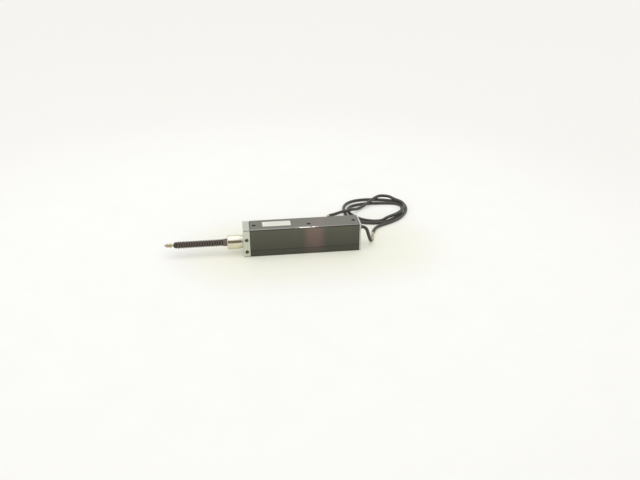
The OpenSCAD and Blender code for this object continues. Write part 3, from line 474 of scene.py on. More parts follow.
def painted_table_top(white):
    """White table paint: matt, with a yellowish painted shadow round where the gauge stands, clean round
    that, and painted greyer far off as shade.

    A small part of its brightness is its own, which keeps the shadows as pale as they are.
    """
    made, tree, shader = start_material("Painted white table top", Roughness=0.6, IOR=1.4,
                                        Emission_Strength=0.3)
    painted_shadow_tone = [c * w for c, w in zip(white, (0.92, 0.92, 0.79))]
    painted_falloff_tone = [c * w for c, w in zip(white, (0.94, 0.93, 0.91))]
    x, y, _ = position(tree)
    # How far a point is past the ends of a line under the housing, and how far from that line, in metres.
    past = add(tree, "ShaderNodeMapRange", distance(tree, x, 0.05), 0.06, 1.06)
    beside = add(tree, "ShaderNodeCombineXYZ", past, y)
    apart = add(tree, "ShaderNodeVectorMath", beside, out="Value", operation="LENGTH")
    place = add(tree, "ShaderNodeTexCoord", out="Object")
    reach = add(tree, "ShaderNodeVectorMath", place, out="Value", operation="LENGTH")
    # A yellowish shadow round the gauge is painted into the floor.
    tone = coat(tree, painted_shadow_tone, white, apart, 0.02, 0.115, ease="SMOOTHSTEP")
    # Farther off the floor is painted greyer, as shade.
    tone = coat(tree, tone, painted_falloff_tone, reach, 0.25, 0.6, ease="SMOOTHSTEP")
    tone = coat(tree, tone, shade(white, 0.93), grain(tree, 0.04, detail=4.0, rough=0.6), high=0.3)
    tree.links.new(tone, shader.inputs["Emission Color"])
    dimmed = add(tree, "ShaderNodeMix", named={0: 0.3, 6: tone, 7: (0, 0, 0)}, out=2, data_type="RGBA")
    tree.links.new(dimmed, shader.inputs["Base Color"])
    return made


# Mesh helpers.

def make_object(name, data):
    """Links a mesh, lamp or camera into the scene as a new object at the origin."""
    made = bpy.data.objects.new(name, data)
    bpy.context.scene.collection.objects.link(made)
    return made


def shape_object(name, shape):
    """Puts a finished bmesh into the scene as an object."""
    mesh = bpy.data.meshes.new(name)
    shape.to_mesh(mesh)
    shape.free()
    return make_object(name, mesh)


def soften(piece, degrees=35):
    """Smooth shading that keeps the edges sharper than the given angle."""
    piece.data.shade_smooth()
    piece.data.set_sharp_from_angle(angle=math.radians(degrees))
    return piece


def modify(piece, name, kind, **settings):
    """Adds a modifier with its settings."""
    made = piece.modifiers.new(name, kind)
    for key, value in settings.items():
        setattr(made, key, value)
    return made


def settle(piece, name):
    """Turns an object with live modifiers into a plain mesh object of the given name."""
    graph = bpy.context.evaluated_depsgraph_get()
    mesh = bpy.data.meshes.new_from_object(piece.evaluated_get(graph), preserve_all_data_layers=True,
                                           depsgraph=graph)
    bpy.data.objects.remove(piece)
    mesh.name = name
    return make_object(name, mesh)


def give(piece, *materials):
    """Puts the materials in the object's slots in place of what is there."""
    piece.data.materials.clear()
    for material in materials:
        piece.data.materials.append(material)
    return piece


def dress(piece, body, node, slot, *materials):
    """Lets a piece ride on a body and stand for a CAD node, with any new materials. Its slot is not used."""
    if materials:
        give(piece, *materials)
    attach(piece, body)
    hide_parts(node)


def circle(sides):
    """Sine and cosine of equal steps round a circle."""
    return [(math.sin(FULL_TURN * k / sides), math.cos(FULL_TURN * k / sides)) for k in range(sides)]


def bridge(shape, first, second):
    """Faces between two rings of corners. A ring may be a single point."""
    sides = max(len(first), len(second))
    for k in range(sides):
        n = (k + 1) % sides
        corners = (first[k % len(first)], first[n % len(first)], second[n % len(second)],
                   second[k % len(second)])
        yield shape.faces.new(list(dict.fromkeys(corners)))


def loft(name, rings, capped=True):
    """A skin over rings of points, its faces outwards. The last ring may be the first one again."""
    shape = bmesh.new()
    closed = rings[-1] == rings[0]
    corners = [[shape.verts.new(point) for point in ring] for ring in (rings[:-1] if closed else rings)]
    if closed:
        corners.append(corners[0])
    for first, second in zip(corners, corners[1:]):
        list(bridge(shape, first, second))
    if capped:
        shape.faces.new(corners[0])
        shape.faces.new(corners[-1])
    bmesh.ops.recalc_face_normals(shape, faces=shape.faces)
    return shape_object(name, shape)


def revolve(name, profile, sides=72, height=AXIS_Z):
    """Turned piece along X at a height. The profile is (x, radius), and may end where it began."""
    rings = [[(x, radius * s, height + radius * c) for s, c in (circle(sides) if radius else [(0, 1)])]
             for x, radius in profile]
    return soften(loft(name, rings, capped=False))


def worked_copy(node, name, width, chosen, steps=2):
    """A copy of a CAD node with its faces joined up and its chosen edges rounded over."""
    shape = bmesh.new()
    shape.from_mesh(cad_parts[node].data)
    bmesh.ops.remove_doubles(shape, verts=shape.verts, dist=1e-6)
    bmesh.ops.dissolve_limit(shape, angle_limit=math.radians(0.6), verts=shape.verts, edges=shape.edges)
    weight = shape.edges.layers.float.new("bevel_weight_edge")
    for edge in shape.edges:
        if len(edge.link_faces) == 2 and edge.calc_face_angle() > math.radians(28):
            first, second = (v.co / MM for v in edge.verts)
            edge[weight] = 1.0 if chosen(first, second) else 0.0
    piece = shape_object(name + "_start", shape)
    modify(piece, "Rounded edges", "BEVEL", limit_method="WEIGHT", width=width, segments=steps,
           use_clamp_overlap=True)
    rounded = soften(settle(piece, name + "_rounded"), 28)
    # Large faces keep their true normal right up to the rounded edges, so that they shade flat.
    modify(rounded, "Steady normals", "WEIGHTED_NORMAL", mode="FACE_AREA", weight=100, keep_sharp=True)
    return settle(rounded, name)


def smooth_route(points, cuts):
    """A smooth curve through the points, in metres, with cuts steps between neighbours."""
    ends = [Vector(p) * MM for p in points]
    ends = [2 * ends[0] - ends[1]] + ends + [2 * ends[-1] - ends[-2]]
    route = []
    for a, b, c, d in zip(ends, ends[1:], ends[2:], ends[3:]):
        for step in range(cuts):
            t = step / cuts
            route.append(0.5 * (2 * b + (c - a) * t + (2 * a - 5 * b + 4 * c - d) * t * t
                                + (3 * b - a - 3 * c + d) * t ** 3))
    route.append(ends[-2])
    return route


def headings(route):
    """Direction of the route at each of its points."""
    last = len(route) - 1
    return [(route[min(i + 1, last)] - route[max(i - 1, 0)]).normalized() for i in range(last + 1)]


def route_length(route):
    """Length of a route in metres."""
    return sum((b - a).length for a, b in zip(route, route[1:]))


def tube(name, route, radius, sides=16, rounded_ends=True):
    """A closed tube along a route, with a UV map of turns round it and metres along it."""
    along = headings(route)
    side = along[0].orthogonal().normalized()
    stations = [(p, t, 1.0) for p, t in zip(route, along)]
    if rounded_ends:
        lip = radius * 0.12
        stations = [(route[0], along[0], 0.86), (route[0] + along[0] * lip, along[0], 0.97),
                    *stations[1:-1],
                    (route[-1] - along[-1] * lip, along[-1], 0.97), (route[-1], along[-1], 0.86)]
    shape = bmesh.new()
    uv = shape.loops.layers.uv.new("along")
    rings, gone = [], [0.0]
    for i, (point, heading, share) in enumerate(stations):
        if i:
            gone.append(gone[-1] + (point - stations[i - 1][0]).length)
        side = (side - heading * side.dot(heading)).normalized()
        other = heading.cross(side)
        rings.append([shape.verts.new(point + radius * share * (c * side + s * other))
                      for s, c in circle(sides)])
    for i in range(len(rings) - 1):
        for k, face in enumerate(bridge(shape, rings[i], rings[i + 1])):
            for loop, spot in zip(face.loops, ((k, i), (k + 1, i), (k + 1, i + 1), (k, i + 1))):
                loop[uv].uv = (spot[0] / sides, gone[spot[1]])
    shape.faces.new(list(reversed(rings[0])))
    shape.faces.new(rings[-1])
    return soften(shape_object(name, shape), 50)


def joined(name, pieces):
    """One object from several, their materials kept."""
    first = pieces[0]
    with bpy.context.temp_override(active_object=first, object=first, selected_objects=pieces,
                                   selected_editable_objects=pieces):
        bpy.ops.object.join()
    first.name = name
    first.data.name = name
    return first


# Geometry node trees.

def new_tree(name, inputs):
    """A geometry tree with named inputs. Gives the tree and its inputs' sockets by name."""
    tree = bpy.data.node_groups.new(name, "GeometryNodeTree")
    for label, kind in {"Geometry": "Geometry", **inputs}.items():
        tree.interface.new_socket(label, in_out="INPUT", socket_type="NodeSocket" + kind)
    tree.interface.new_socket("Geometry", in_out="OUTPUT", socket_type="NodeSocketGeometry")
    return tree, add(tree, "NodeGroupInput").node.outputs


def close_tree(tree, shape, material):
    """Ends a tree in real geometry of one material."""
    real = add(tree, "GeometryNodeRealizeInstances", shape)
    painted = add(tree, "GeometryNodeSetMaterial", real, named={"Material": material})
    add(tree, "NodeGroupOutput", painted)
    return tree


def apply_tree(host, tree, values, name):
    """Runs a tree on the host with inputs set by their labels, and gives the plain result."""
    modifier = modify(host, tree.name, "NODES", node_group=tree)
    for item in tree.interface.items_tree:
        if item.in_out == "INPUT" and item.name in values:
            modifier[item.identifier] = values[item.name]
    host.update_tag()
    return settle(host, name)


def fold_tree():
    """Sleeve with a real wall whose radius rises and falls once per fold along the X axis."""
    tree, given = new_tree("Folded sleeve", {
        "Start": "Vector", "Length": "Float", "Folds": "Int", "Crest radius": "Float", "Fold depth": "Float",
        "Wall": "Float", "Rings per fold": "Int", "Sides": "Int", "Material": "Material"})
    far = add(tree, "ShaderNodeCombineXYZ", given["Length"])
    end = add(tree, "ShaderNodeVectorMath", given["Start"], far, operation="ADD")
    line = add(tree, "GeometryNodeCurvePrimitiveLine", named={"Start": given["Start"], "End": end})
    count = add(tree, "ShaderNodeMath", given["Folds"], given["Rings per fold"], 1.0,
                operation="MULTIPLY_ADD")
    spaced = add(tree, "GeometryNodeResampleCurve", named={"Curve": line, "Count": count})
    share = add(tree, "GeometryNodeSplineParameter", out="Factor")
    gone = add(tree, "ShaderNodeMath", share, given["Folds"], operation="MULTIPLY")
    angle = add(tree, "ShaderNodeMath", gone, math.pi, operation="MULTIPLY")
    sine = add(tree, "ShaderNodeMath", angle, operation="SINE")
    wave = add(tree, "ShaderNodeMath", sine, operation="ABSOLUTE")
    # The power makes the valleys broad and the crests narrow.
    rise = add(tree, "ShaderNodeMath", wave, 2.2, operation="POWER")
    valley = add(tree, "ShaderNodeMath", given["Crest radius"], given["Fold depth"], operation="SUBTRACT")
    radius = add(tree, "ShaderNodeMapRange", rise, 0.0, 1.0, valley, given["Crest radius"])
    ring = add(tree, "GeometryNodeCurvePrimitiveCircle", named={"Radius": 1.0, "Resolution": given["Sides"]})
    sleeve = add(tree, "GeometryNodeCurveToMesh",
                 named={"Curve": spaced, "Profile Curve": ring, "Scale": radius})
    # The lining is the sleeve pushed in by the wall's thickness and turned inside out.
    spot = add(tree, "GeometryNodeInputPosition")
    away = add(tree, "ShaderNodeVectorMath", spot, given["Start"], operation="SUBTRACT")
    flat = add(tree, "ShaderNodeVectorMath", away, (0, 1, 1), operation="MULTIPLY")
    outward = add(tree, "ShaderNodeVectorMath", flat, operation="NORMALIZE")
    inward = add(tree, "ShaderNodeMath", given["Wall"], -1.0, operation="MULTIPLY")
    pushed = add(tree, "GeometryNodeExtrudeMesh", mode="FACES",
                 named={"Mesh": sleeve, "Offset": outward, "Offset Scale": inward, "Individual": False})
    lining = add(tree, "GeometryNodeFlipFaces", pushed)
    both = add(tree, "GeometryNodeJoinGeometry", sleeve)
    tree.links.new(lining, both.node.inputs[0])
    sealed = add(tree, "GeometryNodeMergeByDistance", both, named={"Distance": 0.000001})
    smooth = add(tree, "GeometryNodeSetShadeSmooth", sealed)
    return close_tree(tree, smooth, given["Material"])


def screw_tree():
    """Puts a screw head on each point of the host, each turned by chance, then turns and moves them all."""
    tree, given = new_tree("Screw row", {
        "Head": "Object", "Turn": "Vector", "Place": "Vector", "Seed": "Int", "Material": "Material"})
    head = add(tree, "GeometryNodeObjectInfo", named={"Object": given["Head"]}, out="Geometry")
    chance = add(tree, "FunctionNodeRandomValue", data_type="FLOAT", out=1,
                 named={2: 0.0, 3: QUARTER_TURN, "Seed": given["Seed"]})
    twist = add(tree, "ShaderNodeCombineXYZ", named={"Z": chance})
    dots = add(tree, "GeometryNodeInstanceOnPoints",
               named={"Points": given["Geometry"], "Instance": head, "Rotation": twist})
    placed = add(tree, "GeometryNodeTransform", dots,
                 named={"Rotation": given["Turn"], "Translation": given["Place"]})
    return close_tree(tree, placed, given["Material"])


# Operators.

def place_camera(lens):
    """The photograph's camera, looking down at the gauge from its side."""
    data = bpy.data.cameras.new("Camera")
    data.sensor_width = 36
    data.lens = lens
    data.clip_start = 0.01
    data.clip_end = 30
    camera = make_object("Camera", data)
    camera.location = CAMERA_PLACE
    camera.rotation_euler = (math.radians(90 - CAMERA_LOOKS_DOWN), 0, -math.radians(CAMERA_LOOKS_RIGHT))
    bpy.context.scene.camera = camera


def light(name, kind, place, aim, power, colour, **settings):
    """A lamp at a place that shines toward a point."""
    data = bpy.data.lights.new(name, kind)
    data.energy = power
    data.color = colour
    for key, value in settings.items():
        setattr(data, key, value)
    lamp = make_object(name, data)
    lamp.location = place
    lamp.rotation_euler = (Vector(aim) - Vector(place)).to_track_quat("-Z", "Y").to_euler()
    return lamp


def room_light(strength):
    """An even pale room, with a darker part behind the camera that polished metal mirrors."""
    world = bpy.data.worlds.new("Pale room")
    bpy.context.scene.world = world
    world.use_nodes = True
    tree = world.node_tree
    tree.nodes.clear()
    way = add(tree, "ShaderNodeTexCoord", out="Generated")
    _, y, z = add(tree, "ShaderNodeSeparateXYZ", way).node.outputs
    smooth = "SMOOTHSTEP"
    under = add(tree, "ShaderNodeMapRange", z, 0.68, 0.84, 1.0, 0.0, interpolation_type=smooth)
    upright = add(tree, "ShaderNodeMapRange", z, 0.0, 0.12, 0.0, under, interpolation_type=smooth)
    pale = coat(tree, (0.94, 0.94, 0.92), (1.3, 1.3, 1.42), z, 0.62, 0.85, ease=smooth)
    seen = coat(tree, pale, (0.21, 0.18, 0.145), y, -0.15, -0.6, 0.0, upright, smooth)
    mirrored = add(tree, "ShaderNodeBackground", seen)
    even = add(tree, "ShaderNodeBackground", (1.0, 1.0, 0.985), strength)
    white = add(tree, "ShaderNodeBackground", (1, 1, 1), 1.0)
    rays = add(tree, "ShaderNodeLightPath").node.outputs
    lit = add(tree, "ShaderNodeMixShader", rays["Is Glossy Ray"], even, mirrored)
    shown = add(tree, "ShaderNodeMixShader", rays["Is Camera Ray"], lit, white)
    add(tree, "ShaderNodeOutputWorld", shown)


class GAUGE_OT_stage(bpy.types.Operator):
    """Make the table top, the soft light and the camera"""
    bl_idname = "gauge.stage"
    bl_label = "Stage, light and camera"

    def execute(self, context):
        settings = context.scene.gauge_stage
        context.scene.view_settings.view_transform = "Standard"
        place_camera(settings.lens)
        room_light(settings.sky_strength)
        # The window is on the camera's side and very wide. Mirrors don't show it.
        window = light("Wide window", "SUN", (0, 0, 0), (0.15, 0.6, -1.0), settings.window_strength,
                       (1.0, 0.99, 0.96), angle=math.radians(120))
        window.visible_glossy = False
        light("Overhead softbox", "AREA", (-0.15, 0.25, 1.1), (0.03, 0.03, 0), settings.lamp_power,
              (1.0, 0.995, 0.97), shape="RECTANGLE", size=0.9, size_y=0.9)
        shape = bmesh.new()
        bmesh.ops.create_grid(shape, x_segments=8, y_segments=8, size=6.0)
        floor = give(shape_object("Table_top", shape), painted_table_top(settings.floor_colour))
        return {"FINISHED"}


class GAUGE_OT_cable(bpy.types.Operator):
    """Make the jacketed cable, its bare stretch and its free end"""
    bl_idname = "gauge.cable"
    bl_label = "Cable"

    def execute(self, context):
        settings = context.scene.gauge_cable
        radius = settings.jacket_width / 2
        jacket = cable_jacket("PVC cable jacket", settings.jacket_colour)
        lead_route = smooth_route(LEAD, 5)
        run_route = smooth_route(RUN, 5)
        lead = tube("lead_jacket", lead_route, radius, 20)
        run = tube("run_jacket", run_route, radius, 20)
        bare = self.cores("bare_cores", smooth_route(BARE, 6), settings.core_width, 0.9)
        end = run_route[-1]
        out = (end - run_route[-2]).normalized()
        stub_route = [end + out * gone for gone in (0, 0.0009, 0.0018, 0.0026)]
        stub = self.cores("end_cores", stub_route, settings.core_width, 0.0)
        dress(lead, "gauge_body", "cable_lead", "cable_jacket", jacket)
        dress(bare, "gauge_body", "cable_cores", "core_insulation")
        dress(run, "gauge_body", "cable_run", "cable_jacket", jacket)
        dress(stub, "gauge_body", "cable_end_cores", "core_insulation")
        route_length(lead_route)
        [tuple(p) for p in lead_route]
        tuple(run_route[0])
        route_length(run_route)
        [tuple(p) for p in run_route]
        return {"FINISHED"}

    @staticmethod
    def cores(name, route, width, fan):
        """Four insulated cores that fan out sideways in the middle of a route."""
        last = len(route) - 1
        off = 0.00085
        pieces = []
        for k, code in enumerate(("#cdbf9d", "#d9d3c4", "#8a6a45", "#b8975f")):
            angle = math.radians(90 * k + 45)
            points = []
            for i, (point, heading) in enumerate(zip(route, headings(route))):
                up = (Vector((0, 0, 1)) - heading * heading.z).normalized()
                across = heading.cross(up)
                swing = math.sin(math.pi * i / last)
                sway = 0.0003 * math.sin(FULL_TURN * i / last + 1.7 * k) * swing * (fan > 0)
                points.append(point + across * (off * math.cos(angle) * (1 + fan * swing) + sway)
                              + up * off * math.sin(angle))
            core = tube(f"{name}_{k}", points, width / 2, 12, False)
            pieces.append(give(core, core_insulation(f"Core insulation {name} {k}", linear(code))))
        return joined(name, pieces)


class GAUGE_OT_bellows(bpy.types.Operator):
    """Make the rubber bellows with its tapered nose and its rear cuff"""
    bl_idname = "gauge.bellows"
    bl_label = "Bellows"

    def execute(self, context):
        settings = context.scene.gauge_bellows
        (start, _, _), (stop, _, _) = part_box("bellows")
        crest = settings.crest_width / 2
        valley = crest - settings.fold_depth
        nose_length, cuff_length = 0.0034, 0.005
        first, last = start + nose_length, stop - cuff_length
        rubber = moulded_rubber("Moulded nitrile rubber", settings.rubber_colour, crest=crest)
        host = make_object("bellows_host", bpy.data.meshes.new("bellows_host"))
        sleeve = apply_tree(host, fold_tree(), {
            "Start": (first, 0.0, AXIS_Z), "Length": last - first, "Folds": settings.folds,
            "Crest radius": crest, "Fold depth": settings.fold_depth, "Wall": settings.wall,
            "Rings per fold": 12, "Sides": 64, "Material": rubber}, "bellows_folds")
        soften(sleeve, 60)
        spindle_bore, spigot_bore, inner = 0.00206, 0.00312, 0.0026
        nose = revolve("bellows_nose", [(start + x, r) for x, r in (
            (0.0005, spindle_bore), (0.0001, 0.0021), (0, 0.00225), (0.0002, 0.00252), (0.0009, 0.00285),
            (0.0018, 0.0032), (0.0021, 0.0034), (0.0026, 0.00344), (0.0030, 0.0032), (nose_length, valley),
            (0.0036, inner), (0.0036, spindle_bore), (0.0005, spindle_bore))])
        cuff = revolve("bellows_cuff", [(stop + x, r) for x, r in (
            (-0.0052, inner), (-cuff_length, valley), (-0.00485, 0.0032), (-0.00465, 0.00362),
            (-0.0044, 0.00374), (-0.003, 0.0038), (-0.0012, 0.00394), (-0.0007, 0.00402),
            (-0.0003, 0.00404), (-0.0001, 0.00396), (0, 0.0038), (0, spigot_bore), (-0.0043, spigot_bore),
            (-0.0043, inner), (-0.0052, inner))])
        for piece, body in ((sleeve, "gauge_body"), (nose, "spindle"), (cuff, "gauge_body")):
            dress(piece, body, "bellows", "bellows_rubber", rubber)
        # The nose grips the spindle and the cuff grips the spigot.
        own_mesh(sleeve)
        return {"FINISHED"}


class GAUGE_OT_front(bpy.types.Operator):
    """Make the stem, the front block and the contact point"""
    bl_idname = "gauge.front"
    bl_label = "Stem, block and contact point"

    def execute(self, context):
        finish = context.scene.gauge_finish
        x0, end = (corner[0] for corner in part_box("stem"))
        x1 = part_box("front_block")[0][0]
        bore, shank, radius = 0.0045, 0.006, 0.0075
        stem = revolve("ground_stem", [
            (x0, bore), (x0, 0.00662), (x0 + 0.00006, 0.00674), (x0 + 0.00068, 0.00736),
            (x0 + 0.00084, 0.00746), (x0 + 0.00105, radius), (x1 - 0.00104, radius), (x1 - 0.00094, 0.00747),
            (x1 - 0.0009, 0.0074), (x1 - 0.0009, 0.0068), (x1 - 0.00086, 0.0067), (x1, 0.0067), (x1, shank),
            (end, shank), (end, bore), (x0, bore)], sides=128)
        dress(stem, "gauge_body", "stem", "nickel_stem",
              plated_steel("Ground nickel plated steel", finish.stem_colour))

        low, high = (Vector(v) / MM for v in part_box("front_block"))
        face = low.x + 1.9

        def outer(a, b):
            """Edges of the block's outline and of its boss, but not those of its holes."""
            on_rim = all(abs(p.y) > high.y - 1.8 or p.z > high.z - 1.8 or p.z < low.z + 1.8 for p in (a, b))
            middle = (a + b) / 2
            boss = math.hypot(middle.y, middle.z - AXIS_Z / MM)
            return on_rim and min(a.x, b.x) > face - 0.1 or 6.9 < boss < 7.3 and middle.x < face - 1

        block = worked_copy("front_block", "milled_block", 0.28 * MM, outer, 3)
        dress(block, "gauge_body", "front_block", "cast_aluminium",
              satin_aluminium("Clear anodised aluminium", finish.block_colour,
                              block=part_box("front_block")))

        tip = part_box("contact_ball")[0][0]
        profile = [(0.79, 0), (0.79, 0.95), (0.85, 1.05), (2.0, 1.6), (3.2, 2.15), (3.35, 2.2), (3.7, 2.2),
                   (3.8, 2.1), (3.8, 1.7), (5.2, 1.7), (5.2, 2.25), (5.35, 2.4), (7.05, 2.4), (7.2, 2.25),
                   (7.2, 1.4), (9.6, 1.4), (9.6, 1.25), (14.6, 1.2), (14.6, 0)]
        point = revolve("turned_contact_point", [(tip + x * MM, r * MM) for x, r in profile], sides=64)
        dress(point, "spindle", "contact_point", "contact_steel",
              turned_metal("Turned tool steel", linear("#d8cca8")))
        return {"FINISHED"}


class GAUGE_OT_housing(bpy.types.Operator):
    """Make the housing, its cover and the rear plate with rounded edges"""
    bl_idname = "gauge.housing"
    bl_label = "Housing, cover and rear plate"

    def execute(self, context):
        finish = context.scene.gauge_finish
        high = Vector(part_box("housing")[1]) / MM

        def long_edge(a, b):
            """Edges that run the housing's length on its outer faces."""
            outside = all(abs(p.y) > high.y - 0.9 or p.z < 0.9 for p in (a, b))
            return outside and abs(a.x - b.x) > 50

        def skin_edge(a, b):
            """Edges round the cover's upper face."""
            return all(p.z > high.z + 0.2 for p in (a, b)) and (abs(a.x - b.x) > 20 or abs(a.x - b.x) < 0.01)

        def plate_edge(a, b):
            """Edges of the rear plate's outline."""
            return all(abs(p.y) > high.y - 1 or p.z > high.z or p.z < 1 for p in (a, b))

        plate = satin_aluminium("Satin aluminium plate", linear("#c6c8c6"), 0.34, (1, 1, 0.08))
        for node, name, width, chosen, slot, material in (
                ("housing", "extruded_housing", 0.1, long_edge, "black_anodised",
                 black_anodised_aluminium(finish)),
                ("top_cover", "chamfered_cover", 0.09, skin_edge, "black_anodised",
                 black_anodised_aluminium(finish, True)),
                ("rear_plate", "milled_rear_plate", 0.2, plate_edge, "silver_plate", plate)):
            dress(worked_copy(node, name, width * MM, chosen), "gauge_body", node, slot, material)
        return {"FINISHED"}


class GAUGE_OT_screws(bpy.types.Operator):
    """Make the screws of the block, the rear plate and the cover"""
    bl_idname = "gauge.screws"
    bl_label = "Screws"

    def execute(self, context):
        seed = context.scene.gauge_finish.screw_twist_seed
        tree = screw_tree()
        dark = blackened_steel("Black oxide screws", linear("#1d1c1b"))
        steel = turned_metal("Zinc plated screws", linear("#8f8f8d"), 0.35)
        r = 0.002
        rows = (("front", -1, "dark_steel"), ("rear", 1, "bright_steel"))
        for count, (side, sign, slot) in enumerate(rows):
            low, high = corners = [Vector(v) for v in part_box(side + "_screws")]
            places = [(-sign * z, y) for y in (low.y + r, high.y - r) for z in (low.z + r, high.z - r)]
            heads = self.row(side + "_screw_heads", tree, r, places, (0, sign * QUARTER_TURN, 0),
                             (corners[count].x, 0, 0), seed + count, steel)
            dress(heads, "gauge_body", side + "_screws", slot)
        low, high = (Vector(v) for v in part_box("cover_screws"))
        r = 0.00225
        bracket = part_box("head_bracket")
        middle = 0.5 * (bracket[0][0] + bracket[1][0])
        places = [(low.x + r, high.y - r), (middle, low.y + r), (high.x - r, high.y - r)]
        heads = self.row("cover_screw_heads", tree, r, places, (0, 0, 0), (0, 0, high.z), seed + 2, dark)
        dress(heads, "gauge_body", "cover_screws", "dark_steel")
        return {"FINISHED"}

    @staticmethod
    def head(radius):
        """Countersunk screw with a cross recess, its face at the origin and its shank below."""
        levels = ((0.955 * radius, -0.00001), (0.985 * radius, -0.00008), (0.5 * radius, -0.5 * radius),
                  (0.5 * radius, -0.0042))
        body = loft("screw_head_start", [[(r * c, r * s, z) for s, c in circle(32)] for r, z in levels])
        arm, half, depth = 0.56 * radius, 0.13 * radius, 0.55 * radius
        outline, corner = [], [(arm, -half), (arm, half), (1.5 * half, 1.5 * half)]
        for _ in range(4):
            outline += corner
            corner = [(-y, x) for x, y in corner]
        cutter = loft("cross_recess", [[(1.04 * x, 1.04 * y, 0.0003) for x, y in outline],
                                       [(0.55 * x, 0.8 * y, -depth) for x, y in outline]])
        modify(body, "Recess", "BOOLEAN", operation="DIFFERENCE", solver="EXACT", object=cutter)
        done = settle(body, "screw_head")
        bpy.data.objects.remove(cutter)
        return soften(done, 30)

    def row(self, name, tree, radius, places, turn, place, seed, material):
        """Runs the screw tree on the places and gives the heads as one piece."""
        mesh = bpy.data.meshes.new(name + "_places")
        mesh.from_pydata([(x, y, 0) for x, y in places], [], [])
        head = self.head(radius)
        heads = apply_tree(make_object(name + "_places", mesh), tree, {
            "Head": head, "Turn": turn, "Place": place, "Seed": seed, "Material": material}, name)
        bpy.data.objects.remove(head)
        return heads


class GAUGE_OT_small_parts(bpy.types.Operator):
    """Make the cable gland and the blank label"""
    bl_idname = "gauge.small_parts"
    bl_label = "Gland and label"

    def execute(self, context):
        (front, _, bottom), (back, _, top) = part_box("cable_gland")
        bore = 0.00185
        gland = revolve("cable_gland_sleeve", [
            (front, bore), (front, 0.0025), (back - 0.0026, 0.0025), (back - 0.0026, 0.00312),
            (back - 0.0025, 0.0032), (back - 0.0015, 0.0032), (back - 0.00125, 0.00312),
            (back - 0.0003, 0.00262), (back - 0.0001, 0.00248), (back, 0.0023), (back, 0.002),
            (back - 0.0002, 0.00188), (back - 0.001, bore), (front, bore)], 64, 0.5 * (bottom + top))
        dress(gland, "gauge_body", "cable_gland", "grey_gland",
              plain_plastic("Dark moulded nylon", linear("#4a4945"), 0.42))

        low, high = (Vector(v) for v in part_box("blank_label"))
        centre = (low + high) / 2
        corner, steps, lip = 0.0012, 6, 0.00003
        west, east, south, north = low.x + corner, high.x - corner, low.y + corner, high.y - corner
        outline = []
        for quarter, (x, y) in enumerate(((east, north), (west, north), (west, south), (east, south))):
            for k in range(steps + 1):
                angle = QUARTER_TURN * (quarter + k / steps)
                outline.append((x + corner * math.cos(angle), y + corner * math.sin(angle)))
        label = loft("blank_label_film", [
            [(centre.x + (x - centre.x) * share, centre.y + (y - centre.y) * share, z) for x, y in outline]
            for share, z in ((1.0, low.z), (1.0, high.z - lip), (0.997, high.z))])
        dress(label, "gauge_body", "blank_label", "white_label",
              label_film("Matt polyester label", linear("#e6e7de")))
        return {"FINISHED"}


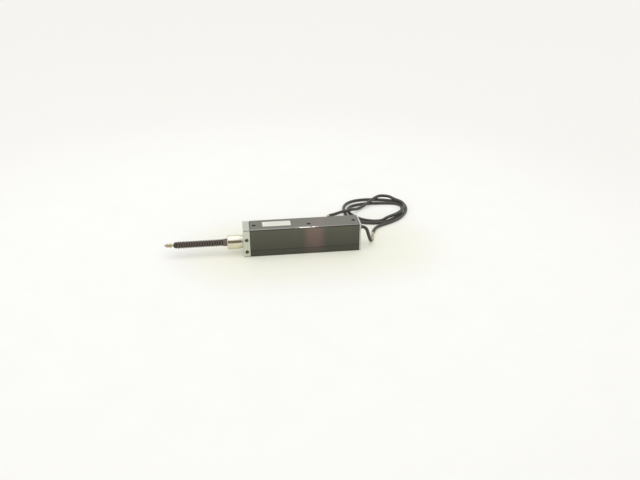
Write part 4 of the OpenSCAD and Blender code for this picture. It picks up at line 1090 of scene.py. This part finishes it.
class GAUGE_OT_carried_parts(bpy.types.Operator):
    """Give every part that keeps its own shape a finish"""
    bl_idname = "gauge.carried_parts"
    bl_label = "Finishes of the other parts"

    def execute(self, context):
        rubber = moulded_rubber("Black gasket rubber", linear("#161616"), 0.6, 0.1)
        milled = satin_aluminium("Milled aluminium", linear("#b9bbbc"), 0.38, (0.1, 1, 1))
        ground = plated_steel("Ground bearing steel", linear("#c9c9c9"), 0.14)
        bright = turned_metal("Bright turned steel", linear("#b4b4b4"), 0.28)
        dark = blackened_steel("Blackened steel", linear("#242321"))
        brass = turned_metal("Turned brass", linear("#b99a5c"), 0.28)
        plastic = plain_plastic("Black moulded nylon", linear("#1b1b1d"))
        board = circuit_board("Circuit board")
        glass = scale_glass("Scale glass")
        finishes = {
            "front_gasket": rubber, "rear_gasket": rubber, "wiper_ring": rubber, "stop_bumper": rubber,
            "cover_bars": milled, "carriage": milled, "guide_rail": milled, "head_bracket": milled,
            "cable_ferrule": milled, "guide_tube": ground, "spindle": ground, "cage_balls": ground,
            "spring_anchor": bright, "board_screws": bright, "cage_stop_ring": dark, "rail_screws": dark,
            "gland_nut": brass, "bellows_spigot": brass, "ball_cage": brass,
            "contact_ball": plated_steel("Polished ball tip", linear("#a8967a"), 0.2),
            "guide_shoe": plain_plastic("Acetal guide shoe", linear("#e2dfd3"), 0.35),
            "glass_scale": glass, "index_grating": glass, "collimator_lens": glass,
            "led_block": plastic, "photodiode_array": plastic, "board_parts": plastic,
            "sensor_board": board, "main_board": board,
            "sensor_ribbon": plain_plastic("Polyimide ribbon", linear("#b87a2c"), 0.3),
            "inner_leads": core_insulation("Inner lead insulation", linear("#c2b08a")),
        }
        for node, material in finishes.items():
            give(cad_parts[node], material)
        coil = make_object("wound_spring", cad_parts["return_spring"].data.copy())
        give(coil, turned_metal("Drawn spring wire", linear("#9c9c9e"), 0.3))
        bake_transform(coil)
        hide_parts("return_spring")
        return {"FINISHED"}


STEPS = (GAUGE_OT_stage, GAUGE_OT_cable, GAUGE_OT_bellows, GAUGE_OT_front, GAUGE_OT_housing, GAUGE_OT_screws,
         GAUGE_OT_small_parts, GAUGE_OT_carried_parts)
GROUPS = {"gauge_cable": CableSettings, "gauge_bellows": BellowsSettings, "gauge_finish": FinishSettings,
          "gauge_stage": StageSettings}


class GAUGE_PT_panel(bpy.types.Panel):
    """Sizes, colours and steps of the linear gauge sensor"""
    bl_idname = "GAUGE_PT_panel"
    bl_label = "Linear gauge sensor"
    bl_space_type = "VIEW_3D"
    bl_region_type = "UI"
    bl_category = "Gauge"

    def draw(self, context):
        for label in GROUPS:
            group = getattr(context.scene, label)
            box = self.layout.box()
            box.label(text=label.removeprefix("gauge_").capitalize())
            for name in group.__annotations__:
                box.prop(group, name)
        for step in STEPS:
            self.layout.operator(step.bl_idname)


def register():
    for name, group in GROUPS.items():
        bpy.utils.register_class(group)
        setattr(bpy.types.Scene, name, bpy.props.PointerProperty(type=group))
    for step in STEPS:
        bpy.utils.register_class(step)
    bpy.utils.register_class(GAUGE_PT_panel)


def unregister():
    bpy.utils.unregister_class(GAUGE_PT_panel)
    for step in reversed(STEPS):
        bpy.utils.unregister_class(step)
    for name, group in reversed(GROUPS.items()):
        delattr(bpy.types.Scene, name)
        bpy.utils.unregister_class(group)


def main():
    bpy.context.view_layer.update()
    register()
    bpy.ops.gauge.stage()
    bpy.ops.gauge.cable()
    bpy.ops.gauge.bellows()
    bpy.ops.gauge.front()
    bpy.ops.gauge.housing()
    bpy.ops.gauge.screws()
    bpy.ops.gauge.small_parts()
    bpy.ops.gauge.carried_parts()


if __name__ == "__main__":
    main()
